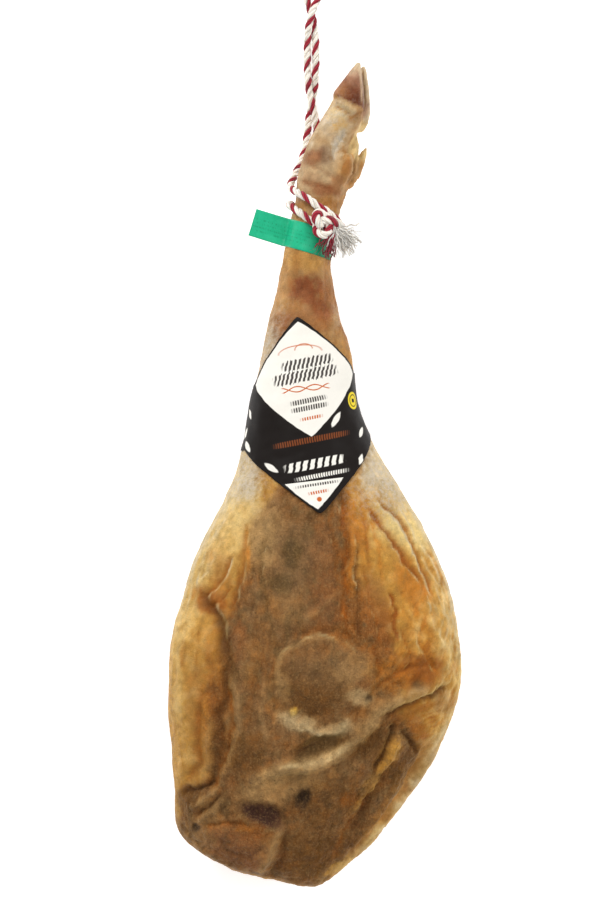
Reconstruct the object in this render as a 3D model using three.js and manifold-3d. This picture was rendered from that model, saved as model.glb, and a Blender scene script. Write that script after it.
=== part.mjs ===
// A whole bone-in cured ham, laid on its skin side with the lean face up: the ham with its trotter,
// a card label sleeve and a plastic tag band round the shank, and the rope that it was hung by.
// Millimetres, +Z up. +Y runs from the butt to the hoof, +X to the right of the lean face, and the
// origin lies under the middle of the ham, on the surface that it rests on.

import * as THREE from "three";
import { LoftGeometry } from "three/addons/geometries/LoftGeometry.js";
import { mergeVertices } from "three/addons/utils/BufferGeometryUtils.js";
import Module from "manifold-3d";

const wasm = await Module();
wasm.setup();

// Driving dimensions.
const HAM_LENGTH = 800;
const HAM_WIDTH = 284;
const HAM_THICKNESS = 126;

const CLEARANCE = 0.4;

const LABEL_PLACE = [-5.7, 59.7];
const LABEL_LEAN = THREE.MathUtils.degToRad(6.8);
const LABEL_ABOVE = 92;
const LABEL_BELOW = 99;
const LABEL_BAND_WIDTH = 64;
const LABEL_UPPER_REACH = 48;
const LABEL_LOWER_REACH = 58;
const LABEL_FRONT_DROP = 3.3;
const LABEL_THICKNESS = 0.8;

const TAG_PLACE = [-3, 225.5];
const TAG_LEAN = THREE.MathUtils.degToRad(-17);
const TAG_WIDTH = 27;
const TAG_THICKNESS = 1;
const TAB_REACH = 60;
const TAB_HEIGHT = 58;

const ROPE_DIAMETER = 7.2;
const TURNS_ALONG = 263;
const TURNS_PITCH = 16;
const TURNS_LEAN = 9;
const TURNS_END = -1.62 * Math.PI;

const KNOT_PLACE = [10, 240];
const KNOT_REACH = new THREE.Vector3(14, 11.5, 8.5);

const TASSEL_LENGTH = 34;
const TASSEL_SPREAD = 11;

// How finely round shapes are drawn, and how near two vertices are one.
const HAM_SIDES = 36;
const CLAW_SIDES = 12;
const ROPE_SIDES = 10;
const HAM_STEPS = 2;
const CLAW_STEPS = 1;
const ROPE_STEP = 11;
const MERGE_DISTANCE = 1e-4;

// Longer than anything here, for blocks that only cut.
const BEYOND = 400;

// The shapes below are drawn for a ham of this size and are stretched to the driving dimensions.
const DRAWN = new THREE.Vector3(284, 800, 126);
const STRETCH = new THREE.Vector3(HAM_WIDTH, HAM_LENGTH, HAM_THICKNESS).divide(DRAWN);

// Each station is one cross-section: its place along the ham, the middle and half of its width, its
// lowest and highest line, the height at which it is widest, how many degrees it turns towards the
// right, and how square it is (2 is an ellipse). A line under zero is pressed flat by the ham's weight.
const HAM_STATIONS = [
  { along: -400, middle: -3, half: 8, low: 44, high: 70, widest: 56, turn: 0, square: 2 },
  { along: -396, middle: -9, half: 20, low: 38, high: 76, widest: 56, turn: 0, square: 2 },
  { along: -387, middle: -24, half: 46, low: 29, high: 82, widest: 57, turn: 0, square: 2 },
  { along: -376, middle: -31, half: 66.5, low: 21, high: 88, widest: 57, turn: 0, square: 2 },
  { along: -362, middle: -33, half: 85, low: 14, high: 94, widest: 58, turn: 0, square: 2 },
  { along: -347, middle: -34, half: 98.5, low: 8, high: 99, widest: 59, turn: 0, square: 2 },
  { along: -318, middle: -24, half: 111, low: 0, high: 108, widest: 61, turn: 0, square: 2 },
  { along: -280, middle: -12, half: 125.5, low: -5, high: 117, widest: 64, turn: 0, square: 2 },
  { along: -240, middle: -5, half: 136, low: -7, high: 123, widest: 66, turn: 0, square: 2.1 },
  { along: -205, middle: -0.5, half: 141, low: -7, high: 126, widest: 67, turn: 0, square: 2.1 },
  { along: -165, middle: 0, half: 139.5, low: -7, high: 125.5, widest: 67, turn: 0, square: 2.1 },
  { along: -124, middle: 2.5, half: 130.5, low: -6, high: 123, widest: 66, turn: 0, square: 2 },
  { along: -85, middle: 1, half: 118, low: -3, high: 119, widest: 65, turn: 0, square: 2 },
  { along: -46, middle: 0.5, half: 98.5, low: 1, high: 114, widest: 64, turn: 0, square: 2 },
  { along: -7, middle: -1, half: 77.5, low: 7, high: 108, widest: 63, turn: 0, square: 2 },
  { along: 32, middle: -6.5, half: 60.5, low: 13, high: 103, widest: 62, turn: 0, square: 2 },
  { along: 71, middle: -10.5, half: 51, low: 19, high: 99, widest: 61, turn: 0, square: 2 },
  { along: 108, middle: -7.5, half: 45.5, low: 24, high: 95, widest: 61, turn: 0, square: 2 },
  { along: 129, middle: -8, half: 41, low: 26, high: 92, widest: 60, turn: 0, square: 2 },
  { along: 149, middle: -9, half: 35, low: 28, high: 89, widest: 60, turn: 0, square: 2 },
  { along: 180, middle: -8.5, half: 27.5, low: 31, high: 86, widest: 59, turn: 2, square: 2 },
  { along: 208, middle: -7, half: 23.5, low: 33, high: 84, widest: 59, turn: 5, square: 2 },
  { along: 236, middle: -3, half: 22, low: 34, high: 84, widest: 59, turn: 8, square: 2 },
  { along: 262, middle: 4, half: 22.5, low: 34, high: 86, widest: 60, turn: 10, square: 2 },
  { along: 283, middle: 8, half: 25, low: 35, high: 86, widest: 60, turn: 14, square: 2.1 },
  { along: 302, middle: 10.5, half: 22.5, low: 37, high: 84, widest: 61, turn: 18, square: 2.2 },
  { along: 317, middle: 13, half: 19.5, low: 40, high: 81, widest: 61, turn: 23, square: 2.3 },
  { along: 335, middle: 22.6, half: 18.5, low: 42, high: 79, widest: 60, turn: 27, square: 2.4 },
  { along: 346, middle: 29, half: 18, low: 42, high: 79, widest: 60, turn: 28, square: 2.4 },
  { along: 358, middle: 33.5, half: 16, low: 43, high: 78, widest: 60, turn: 27, square: 2.4 },
  { along: 366, middle: 37, half: 11, low: 46, high: 74, widest: 60, turn: 24, square: 2.3 },
];

const NEAR_CLAW_STATIONS = [
  { along: 344, middle: 40, half: 6, low: 65, high: 77, widest: 70, turn: 0, square: 2 },
  { along: 353, middle: 37, half: 11.5, low: 62.5, high: 81, widest: 70, turn: 0, square: 2.2 },
  { along: 362, middle: 33.9, half: 15, low: 61, high: 83, widest: 69, turn: 0, square: 2.4 },
  { along: 368, middle: 32.8, half: 16, low: 61, high: 83.5, widest: 69, turn: 0, square: 2.4 },
  { along: 374, middle: 34.4, half: 13.6, low: 61.2, high: 82.5, widest: 69, turn: 0, square: 2.3 },
  { along: 383, middle: 37.6, half: 9.6, low: 62.5, high: 79.5, widest: 69, turn: 0, square: 2.2 },
  { along: 392, middle: 40.8, half: 5.5, low: 65, high: 76, widest: 70, turn: 0, square: 2 },
  { along: 398, middle: 42.6, half: 3, low: 67, high: 73.5, widest: 70, turn: 0, square: 2 },
  { along: 400, middle: 43.2, half: 1.5, low: 68.5, high: 72, widest: 70.2, turn: 0, square: 2 },
];

const FAR_CLAW_STATIONS = [
  { along: 332, middle: 42, half: 6, low: 45, high: 56, widest: 50, turn: 0, square: 2 },
  { along: 340, middle: 40, half: 12.5, low: 40, high: 58.5, widest: 50, turn: 0, square: 2.2 },
  { along: 350, middle: 40.6, half: 14.6, low: 38, high: 59.3, widest: 50, turn: 0, square: 2.4 },
  { along: 361, middle: 40.8, half: 14, low: 38, high: 59.3, widest: 50, turn: 0, square: 2.4 },
  { along: 373, middle: 42.6, half: 11.4, low: 39, high: 58.6, widest: 50, turn: 0, square: 2.3 },
  { along: 383, middle: 44.4, half: 8.4, low: 41, high: 57, widest: 50, turn: 0, square: 2.2 },
  { along: 391, middle: 46.6, half: 5.2, low: 44, high: 55, widest: 50, turn: 0, square: 2 },
  { along: 396, middle: 48, half: 2.6, low: 47, high: 52.5, widest: 50, turn: 0, square: 2 },
  { along: 398, middle: 48.4, half: 1.4, low: 48.4, high: 51.4, widest: 50, turn: 0, square: 2 },
];

const DEWCLAW_PAD_STATIONS = [
  { along: 272, middle: 21, half: 4, low: 60, high: 74, widest: 67, turn: 8, square: 2 },
  { along: 284, middle: 26, half: 7, low: 60, high: 80, widest: 69, turn: 12, square: 2 },
  { along: 296, middle: 30, half: 7, low: 61, high: 80, widest: 70, turn: 14, square: 2 },
  { along: 305, middle: 33, half: 5, low: 63, high: 77, widest: 70, turn: 16, square: 2 },
  { along: 309, middle: 34.4, half: 2, low: 67, high: 73, widest: 70, turn: 16, square: 2 },
];

const MIDDLE_DEWCLAW_STATIONS = [
  { along: 284, middle: 30, half: 5, low: 52, high: 68, widest: 60, turn: 10, square: 2 },
  { along: 296, middle: 34.5, half: 7, low: 52, high: 69, widest: 61, turn: 10, square: 2 },
  { along: 309, middle: 38, half: 5.8, low: 55, high: 67.5, widest: 61, turn: 12, square: 2 },
  { along: 319, middle: 40.6, half: 3.6, low: 57.5, high: 65.5, widest: 61.5, turn: 12, square: 2 },
  { along: 327, middle: 42.4, half: 1.3, low: 60.3, high: 62.9, widest: 61.6, turn: 12, square: 2 },
];

const FAR_DEWCLAW_STATIONS = [
  { along: 278, middle: 30, half: 6, low: 42, high: 58, widest: 50, turn: 16, square: 2 },
  { along: 291, middle: 38, half: 7.5, low: 42, high: 59, widest: 50, turn: 18, square: 2 },
  { along: 303, middle: 44, half: 6, low: 44, high: 57, widest: 50, turn: 20, square: 2 },
  { along: 312, middle: 48.4, half: 3.6, low: 46, high: 54, widest: 50, turn: 22, square: 2 },
  { along: 318.5, middle: 51.2, half: 1.3, low: 48.7, high: 51.3, widest: 50, turn: 22, square: 2 },
];

// The free rope: from the left end of the turns down to the surface and past the hoof, round in a
// bight, and back beside itself to end under the turns. It moves along with the foot.
const HANGING_ROPE_ROUTE = [
  [-22.8, 278.1, 59.4],
  [-23.4, 279.6, 53.5],
  [-22.6, 283.5, 46.5],
  [-19.6, 290.5, 38.5],
  [-15.4, 299, 30],
  [-11.4, 309.5, 21],
  [-8.4, 321.5, 12.8],
  [-6.8, 335, 6.8],
  [-5, 350, 4.2],
  [-2.6, 364, 3.8],
  [0.2, 380, 3.8],
  [1.4, 400, 3.8],
  [1.4, 420, 3.8],
  [0.2, 436, 3.8],
  [-2.8, 452, 3.8],
  [-8.4, 468, 3.8],
  [-17, 484, 3.8],
  [-21.6, 502, 3.8],
  [-15.6, 518, 3.8],
  [-2.6, 524.8, 3.8],
  [10.4, 518, 3.8],
  [16.4, 502, 3.8],
  [12.2, 484, 4.2],
  [4.4, 468, 7.8],
  [-2.2, 452, 11.8],
  [-5.8, 436, 8.6],
  [-6.8, 418, 4.2],
  [-6.8, 400, 4],
  [-5.8, 382, 8],
  [-2.8, 365, 11.8],
  [0.6, 350, 10.6],
  [2.8, 335, 6.2],
  [3.8, 318, 4],
  [3.8, 302, 5.8],
  [3.4, 286, 12],
  [2.8, 273, 20],
  [2.4, 264.5, 25],
  [2.2, 258.6, 27.4],
];

const COLOURS = {
  ham: 0xb98a4a,
  card: 0x1f1b1c,
  green_plastic: 0x1eaf78,
  rope: 0xe9e2cf,
};

// A place drawn on the ham, stretched with it.
function placed([x, y]) {
  return new THREE.Vector2(x * STRETCH.x, y * STRETCH.y);
}

// A smooth shape through a table of stations: it gives the point at a place along it and an angle
// round it, from the right through the top, grown outwards by a clearance or a thickness.
function shapeThrough(stations) {
  const places = stations.map((s) => s.along * STRETCH.y);
  const values = stations.flatMap((s) => [
    s.middle * STRETCH.x,
    s.half * STRETCH.x,
    s.low * STRETCH.z,
    s.high * STRETCH.z,
    s.widest * STRETCH.z,
    THREE.MathUtils.degToRad(s.turn),
    s.square,
  ]);
  const size = values.length / stations.length;
  const curve = new THREE.CubicInterpolant(
    new Float32Array(places),
    new Float32Array(values),
    size,
  );
  function pointAt(along, angle, grow = 0) {
    const [middle, half, low, high, widest, turn, square] = curve.evaluate(along);
    const across = squared(Math.cos(angle), square) * (half + grow);
    const height = Math.sin(angle) > 0 ? high - widest : widest - low;
    const up = squared(Math.sin(angle), square) * (height + grow);
    return new THREE.Vector3(
      middle + across * Math.cos(turn),
      along - across * Math.sin(turn),
      widest + up,
    );
  }
  return { places, pointAt };
}

function squared(value, square) {
  return Math.sign(value) * Math.abs(value) ** (2 / square);
}

// The rows at which a shape is drawn, between two places along it.
function rowsBetween(places, steps, from, to) {
  const rows = [];
  for (let i = 0; i + 1 < places.length; i++) {
    for (let step = 0; step < steps; step++) {
      rows.push(THREE.MathUtils.lerp(places[i], places[i + 1], step / steps));
    }
  }
  return [from, ...rows.filter((row) => row > from && row < to), to];
}

function loftOf(shape, sides, rows, grow = 0) {
  const sections = rows.map((row) =>
    Array.from({ length: sides }, (_, i) =>
      shape.pointAt(row, Math.PI - (2 * Math.PI * i) / sides, grow),
    ),
  );
  return solidOf(new LoftGeometry(sections, { capStart: true, capEnd: true }));
}

function hamLoft(grow, from, to) {
  return loftOf(ham, HAM_SIDES, rowsBetween(ham.places, HAM_STEPS, from, to), grow);
}

function clawLoft(stations) {
  const claw = shapeThrough(stations);
  const rows = rowsBetween(claw.places, CLAW_STEPS, claw.places[0], claw.places.at(-1));
  return loftOf(claw, CLAW_SIDES, rows);
}

// A closed geometry as a solid that can be joined and cut.
function solidOf(geometry) {
  const bare = new THREE.BufferGeometry();
  bare.setAttribute("position", geometry.getAttribute("position"));
  bare.setIndex(geometry.getIndex());
  const merged = mergeVertices(bare, MERGE_DISTANCE);
  return new wasm.Manifold(
    new wasm.Mesh({
      numProp: 3,
      vertProperties: merged.attributes.position.array,
      triVerts: new Uint32Array(merged.index.array),
    }),
  );
}

function meshOf(solid, name, colour, roughness) {
  const { numProp, vertProperties, triVerts } = solid.getMesh();
  const geometry = new THREE.BufferGeometry();
  geometry.setAttribute("position", new THREE.BufferAttribute(vertProperties, numProp));
  geometry.setIndex(new THREE.BufferAttribute(triVerts, 1));
  geometry.computeVertexNormals();
  const material = new THREE.MeshStandardMaterial({ color: colour, roughness, metalness: 0 });
  const mesh = new THREE.Mesh(geometry, material);
  mesh.name = name;
  return mesh;
}

// A block whose near face lies at the height given, reaching far up or down.
function blockFrom(height, direction) {
  const block = new THREE.BoxGeometry(4 * BEYOND, 4 * BEYOND, BEYOND);
  block.translate(0, 0, height + (direction * BEYOND) / 2);
  return solidOf(block);
}

// An outline drawn in a piece's own leaning frame, extruded upwards from the height given.
function prismOf(points, place, lean, fromHeight) {
  const outline = new THREE.Shape(points.map(([x, y]) => new THREE.Vector2(x, y)));
  const prism = new THREE.ExtrudeGeometry(outline, { depth: 2 * BEYOND, bevelEnabled: false });
  prism.translate(0, 0, fromHeight);
  prism.rotateZ(lean);
  prism.translate(place.x, place.y, 0);
  return solidOf(prism);
}

function tubeAlong(points) {
  const path = new THREE.CatmullRomCurve3(points, false, "centripetal");
  const section = new THREE.Shape();
  section.absarc(0, 0, ROPE_DIAMETER / 2, 0, 2 * Math.PI, false);
  const tube = new THREE.ExtrudeGeometry(section, {
    steps: Math.round(path.getLength() / ROPE_STEP),
    curveSegments: ROPE_SIDES / 2,
    extrudePath: path,
  });
  return solidOf(tube);
}

const ham = shapeThrough(HAM_STATIONS);
const labelPlace = placed(LABEL_PLACE);
const tagPlace = placed(TAG_PLACE);
const knotPlace = placed(KNOT_PLACE);
const shankFrom = labelPlace.y - LABEL_BELOW - LABEL_BAND_WIDTH;
const shankTo = tagPlace.y + 2 * TAG_WIDTH;

// The ham grew as one piece: thigh, shank, foot, both claws and the dewclaws.
function makeHam() {
  const parts = [NEAR_CLAW_STATIONS, FAR_CLAW_STATIONS, DEWCLAW_PAD_STATIONS];
  parts.push(MIDDLE_DEWCLAW_STATIONS, FAR_DEWCLAW_STATIONS);
  const whole = parts.reduce(
    (joined, stations) => joined.add(clawLoft(stations)),
    hamLoft(0, ham.places[0], ham.places.at(-1)),
  );
  return whole.subtract(blockFrom(0, -1));
}

// The sleeve is a card bent round the shank: a band all round, and a point above and below it on
// the front.
function makeLabel() {
  const inner = CLEARANCE + LABEL_THICKNESS / 2;
  const wrapped = hamLoft(inner + LABEL_THICKNESS, shankFrom, shankTo);
  const hollow = hamLoft(inner, shankFrom - 1, shankTo + 1);
  const half = LABEL_BAND_WIDTH / 2;
  const band = [
    [-BEYOND, -half],
    [BEYOND, -half],
    [BEYOND, half],
    [-BEYOND, half],
  ];
  const upperWidth = (LABEL_UPPER_REACH * LABEL_ABOVE) / (LABEL_ABOVE - half);
  const lowerWidth = (LABEL_LOWER_REACH * LABEL_BELOW) / (LABEL_BELOW - half);
  const front = [
    [0, LABEL_ABOVE],
    [-upperWidth, 0],
    [-lowerWidth, 0],
    [0, -LABEL_BELOW],
    [lowerWidth, 0],
    [upperWidth, 0],
  ];
  const middleHeight = ham.pointAt(labelPlace.y, 0).z - LABEL_FRONT_DROP;
  const cut = prismOf(band, labelPlace, LABEL_LEAN, -BEYOND).add(
    prismOf(front, labelPlace, LABEL_LEAN, middleHeight),
  );
  return wrapped.subtract(hollow).intersect(cut);
}

// The tag is a strip round the shank whose ends lie together in a tab that stands out on the left.
function makeTag() {
  const wrapped = hamLoft(CLEARANCE + TAG_THICKNESS, shankFrom, shankTo);
  const hollow = hamLoft(CLEARANCE, shankFrom - 1, shankTo + 1);
  const half = TAG_WIDTH / 2;
  const strip = [
    [-BEYOND, -half],
    [BEYOND, -half],
    [BEYOND, half],
    [-BEYOND, half],
  ];
  const tab = new THREE.BoxGeometry(TAB_REACH, TAG_WIDTH, 2 * TAG_THICKNESS);
  tab.translate(-TAB_REACH / 2, 0, TAB_HEIGHT * STRETCH.z);
  tab.rotateZ(TAG_LEAN);
  tab.translate(tagPlace.x, tagPlace.y, 0);
  return wrapped
    .intersect(prismOf(strip, tagPlace, TAG_LEAN, -BEYOND))
    .add(solidOf(tab))
    .subtract(hollow);
}

// The turns' middle line: it starts at the left and goes over the front, down the right, behind and
// over the front again, leaning down to the right, and rides clear of the tag.
function turnsRoute() {
  const offset = ROPE_DIAMETER / 2 + 2 * CLEARANCE + TAG_THICKNESS;
  const points = [];
  for (let angle = Math.PI; angle > TURNS_END; angle -= Math.PI / 8) {
    const turned = (Math.PI - angle) / (2 * Math.PI);
    const along = TURNS_ALONG - TURNS_PITCH * turned - TURNS_LEAN * Math.cos(angle);
    points.push(ham.pointAt(along * STRETCH.y, angle, offset));
  }
  return points;
}

function knotCentre() {
  const top = ham.pointAt(knotPlace.y, Math.PI / 2).z;
  const lift = 2 * CLEARANCE + TAG_THICKNESS + KNOT_REACH.z;
  return new THREE.Vector3(knotPlace.x, knotPlace.y, top + lift);
}

function knotShape(grow) {
  const knot = new THREE.SphereGeometry(1, 16, 12);
  knot.scale(KNOT_REACH.x + grow, KNOT_REACH.y + grow, KNOT_REACH.z + grow);
  const centre = knotCentre();
  knot.translate(centre.x, centre.y, centre.z);
  return solidOf(knot);
}

function makeLashing() {
  return tubeAlong(turnsRoute()).add(knotShape(0));
}

// The rope's frayed end: a flat cone that fans out from the knot, down to the right.
function makeTassel() {
  const profile = [
    new THREE.Vector2(0, 0),
    new THREE.Vector2(4.5, 0),
    new THREE.Vector2(0.7 * TASSEL_SPREAD, 0.5 * TASSEL_LENGTH),
    new THREE.Vector2(TASSEL_SPREAD, 0.85 * TASSEL_LENGTH),
    new THREE.Vector2(0.6 * TASSEL_SPREAD, TASSEL_LENGTH),
    new THREE.Vector2(0, TASSEL_LENGTH),
  ];
  const tassel = new THREE.LatheGeometry(profile, 16);
  tassel.scale(1, 1, 0.5);
  tassel.rotateZ(THREE.MathUtils.degToRad(-142));
  tassel.rotateY(THREE.MathUtils.degToRad(14));
  const centre = knotCentre();
  tassel.translate(centre.x + 0.75 * KNOT_REACH.x, centre.y - 0.35 * KNOT_REACH.y, centre.z);
  return solidOf(tassel).subtract(knotShape(CLEARANCE));
}

function makeHangingRope() {
  return tubeAlong(HANGING_ROPE_ROUTE.map(([x, y, z]) => new THREE.Vector3(x, y * STRETCH.y, z)));
}

const part = new THREE.Group();
part.add(
  meshOf(makeHam(), "ham", COLOURS.ham, 0.5),
  meshOf(makeLabel(), "label_sleeve", COLOURS.card, 0.35),
  meshOf(makeTag(), "tag_band", COLOURS.green_plastic, 0.3),
  meshOf(makeLashing(), "rope_lashing", COLOURS.rope, 0.9),
  meshOf(makeTassel(), "rope_tassel", COLOURS.rope, 0.9),
  meshOf(makeHangingRope(), "hanging_rope", COLOURS.rope, 0.9),
);

export default part;
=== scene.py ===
"""The looks of a whole cured ham that lies on its skin side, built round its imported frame.

Every size is in metres, except where a name or a table says millimetres. +Y runs from the butt to the
hoof, +X to the right of the lean face and +Z up from the surface that the ham rests on.
"""

import math

import bpy
import numpy as np
from mathutils import Matrix, Vector, noise
from mathutils.bvhtree import BVHTree


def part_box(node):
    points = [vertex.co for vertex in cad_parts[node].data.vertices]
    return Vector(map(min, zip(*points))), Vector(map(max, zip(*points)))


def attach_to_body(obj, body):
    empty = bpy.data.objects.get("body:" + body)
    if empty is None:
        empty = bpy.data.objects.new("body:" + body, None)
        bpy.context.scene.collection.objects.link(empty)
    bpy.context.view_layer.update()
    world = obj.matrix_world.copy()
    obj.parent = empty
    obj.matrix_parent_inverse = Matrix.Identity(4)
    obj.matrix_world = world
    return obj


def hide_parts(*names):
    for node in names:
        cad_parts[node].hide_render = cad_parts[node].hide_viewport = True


bl_info = {
    "name": "Cured ham",
    "version": (1, 0, 0),
    "blender": (4, 5, 0),
    "location": "3D View > Sidebar > Cured ham",
    "description": "Builds a bone-in cured ham with its card sleeve, tag and hanging rope",
    "category": "Add Mesh",
}

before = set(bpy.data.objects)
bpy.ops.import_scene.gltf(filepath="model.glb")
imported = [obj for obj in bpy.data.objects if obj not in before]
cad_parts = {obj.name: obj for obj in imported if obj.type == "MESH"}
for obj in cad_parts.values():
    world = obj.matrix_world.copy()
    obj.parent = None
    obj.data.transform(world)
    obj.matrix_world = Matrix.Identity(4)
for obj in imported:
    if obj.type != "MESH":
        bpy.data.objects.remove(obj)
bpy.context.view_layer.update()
MM = 0.001

# The free rope's middle line, in metres: down from the turns to the surface, past the hoof, round in a
# bight and back to end under the turns.
HANGING_ROUTE = (
    (-0.0228, 0.2781, 0.0594),
    (-0.0234, 0.2796, 0.0535),
    (-0.0226, 0.2835, 0.0465),
    (-0.0196, 0.2905, 0.0385),
    (-0.0154, 0.2990, 0.0300),
    (-0.0114, 0.3095, 0.0210),
    (-0.0084, 0.3215, 0.0128),
    (-0.0068, 0.3350, 0.0068),
    (-0.0050, 0.3500, 0.0042),
    (-0.0026, 0.3640, 0.0038),
    (0.0002, 0.3800, 0.0038),
    (0.0014, 0.4000, 0.0038),
    (0.0014, 0.4200, 0.0038),
    (0.0002, 0.4360, 0.0038),
    (-0.0028, 0.4520, 0.0038),
    (-0.0084, 0.4680, 0.0038),
    (-0.0170, 0.4840, 0.0038),
    (-0.0216, 0.5020, 0.0038),
    (-0.0156, 0.5180, 0.0038),
    (-0.0026, 0.5248, 0.0038),
    (0.0104, 0.5180, 0.0038),
    (0.0164, 0.5020, 0.0038),
    (0.0122, 0.4840, 0.0042),
    (0.0044, 0.4680, 0.0078),
    (-0.0022, 0.4520, 0.0118),
    (-0.0058, 0.4360, 0.0086),
    (-0.0068, 0.4180, 0.0042),
    (-0.0068, 0.4000, 0.0040),
    (-0.0058, 0.3820, 0.0080),
    (-0.0028, 0.3650, 0.0118),
    (0.0006, 0.3500, 0.0106),
    (0.0028, 0.3350, 0.0062),
    (0.0038, 0.3180, 0.0040),
    (0.0038, 0.3020, 0.0058),
    (0.0034, 0.2860, 0.0120),
    (0.0028, 0.2730, 0.0200),
    (0.0024, 0.2645, 0.0250),
    (0.0022, 0.2586, 0.0274),
)

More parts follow.
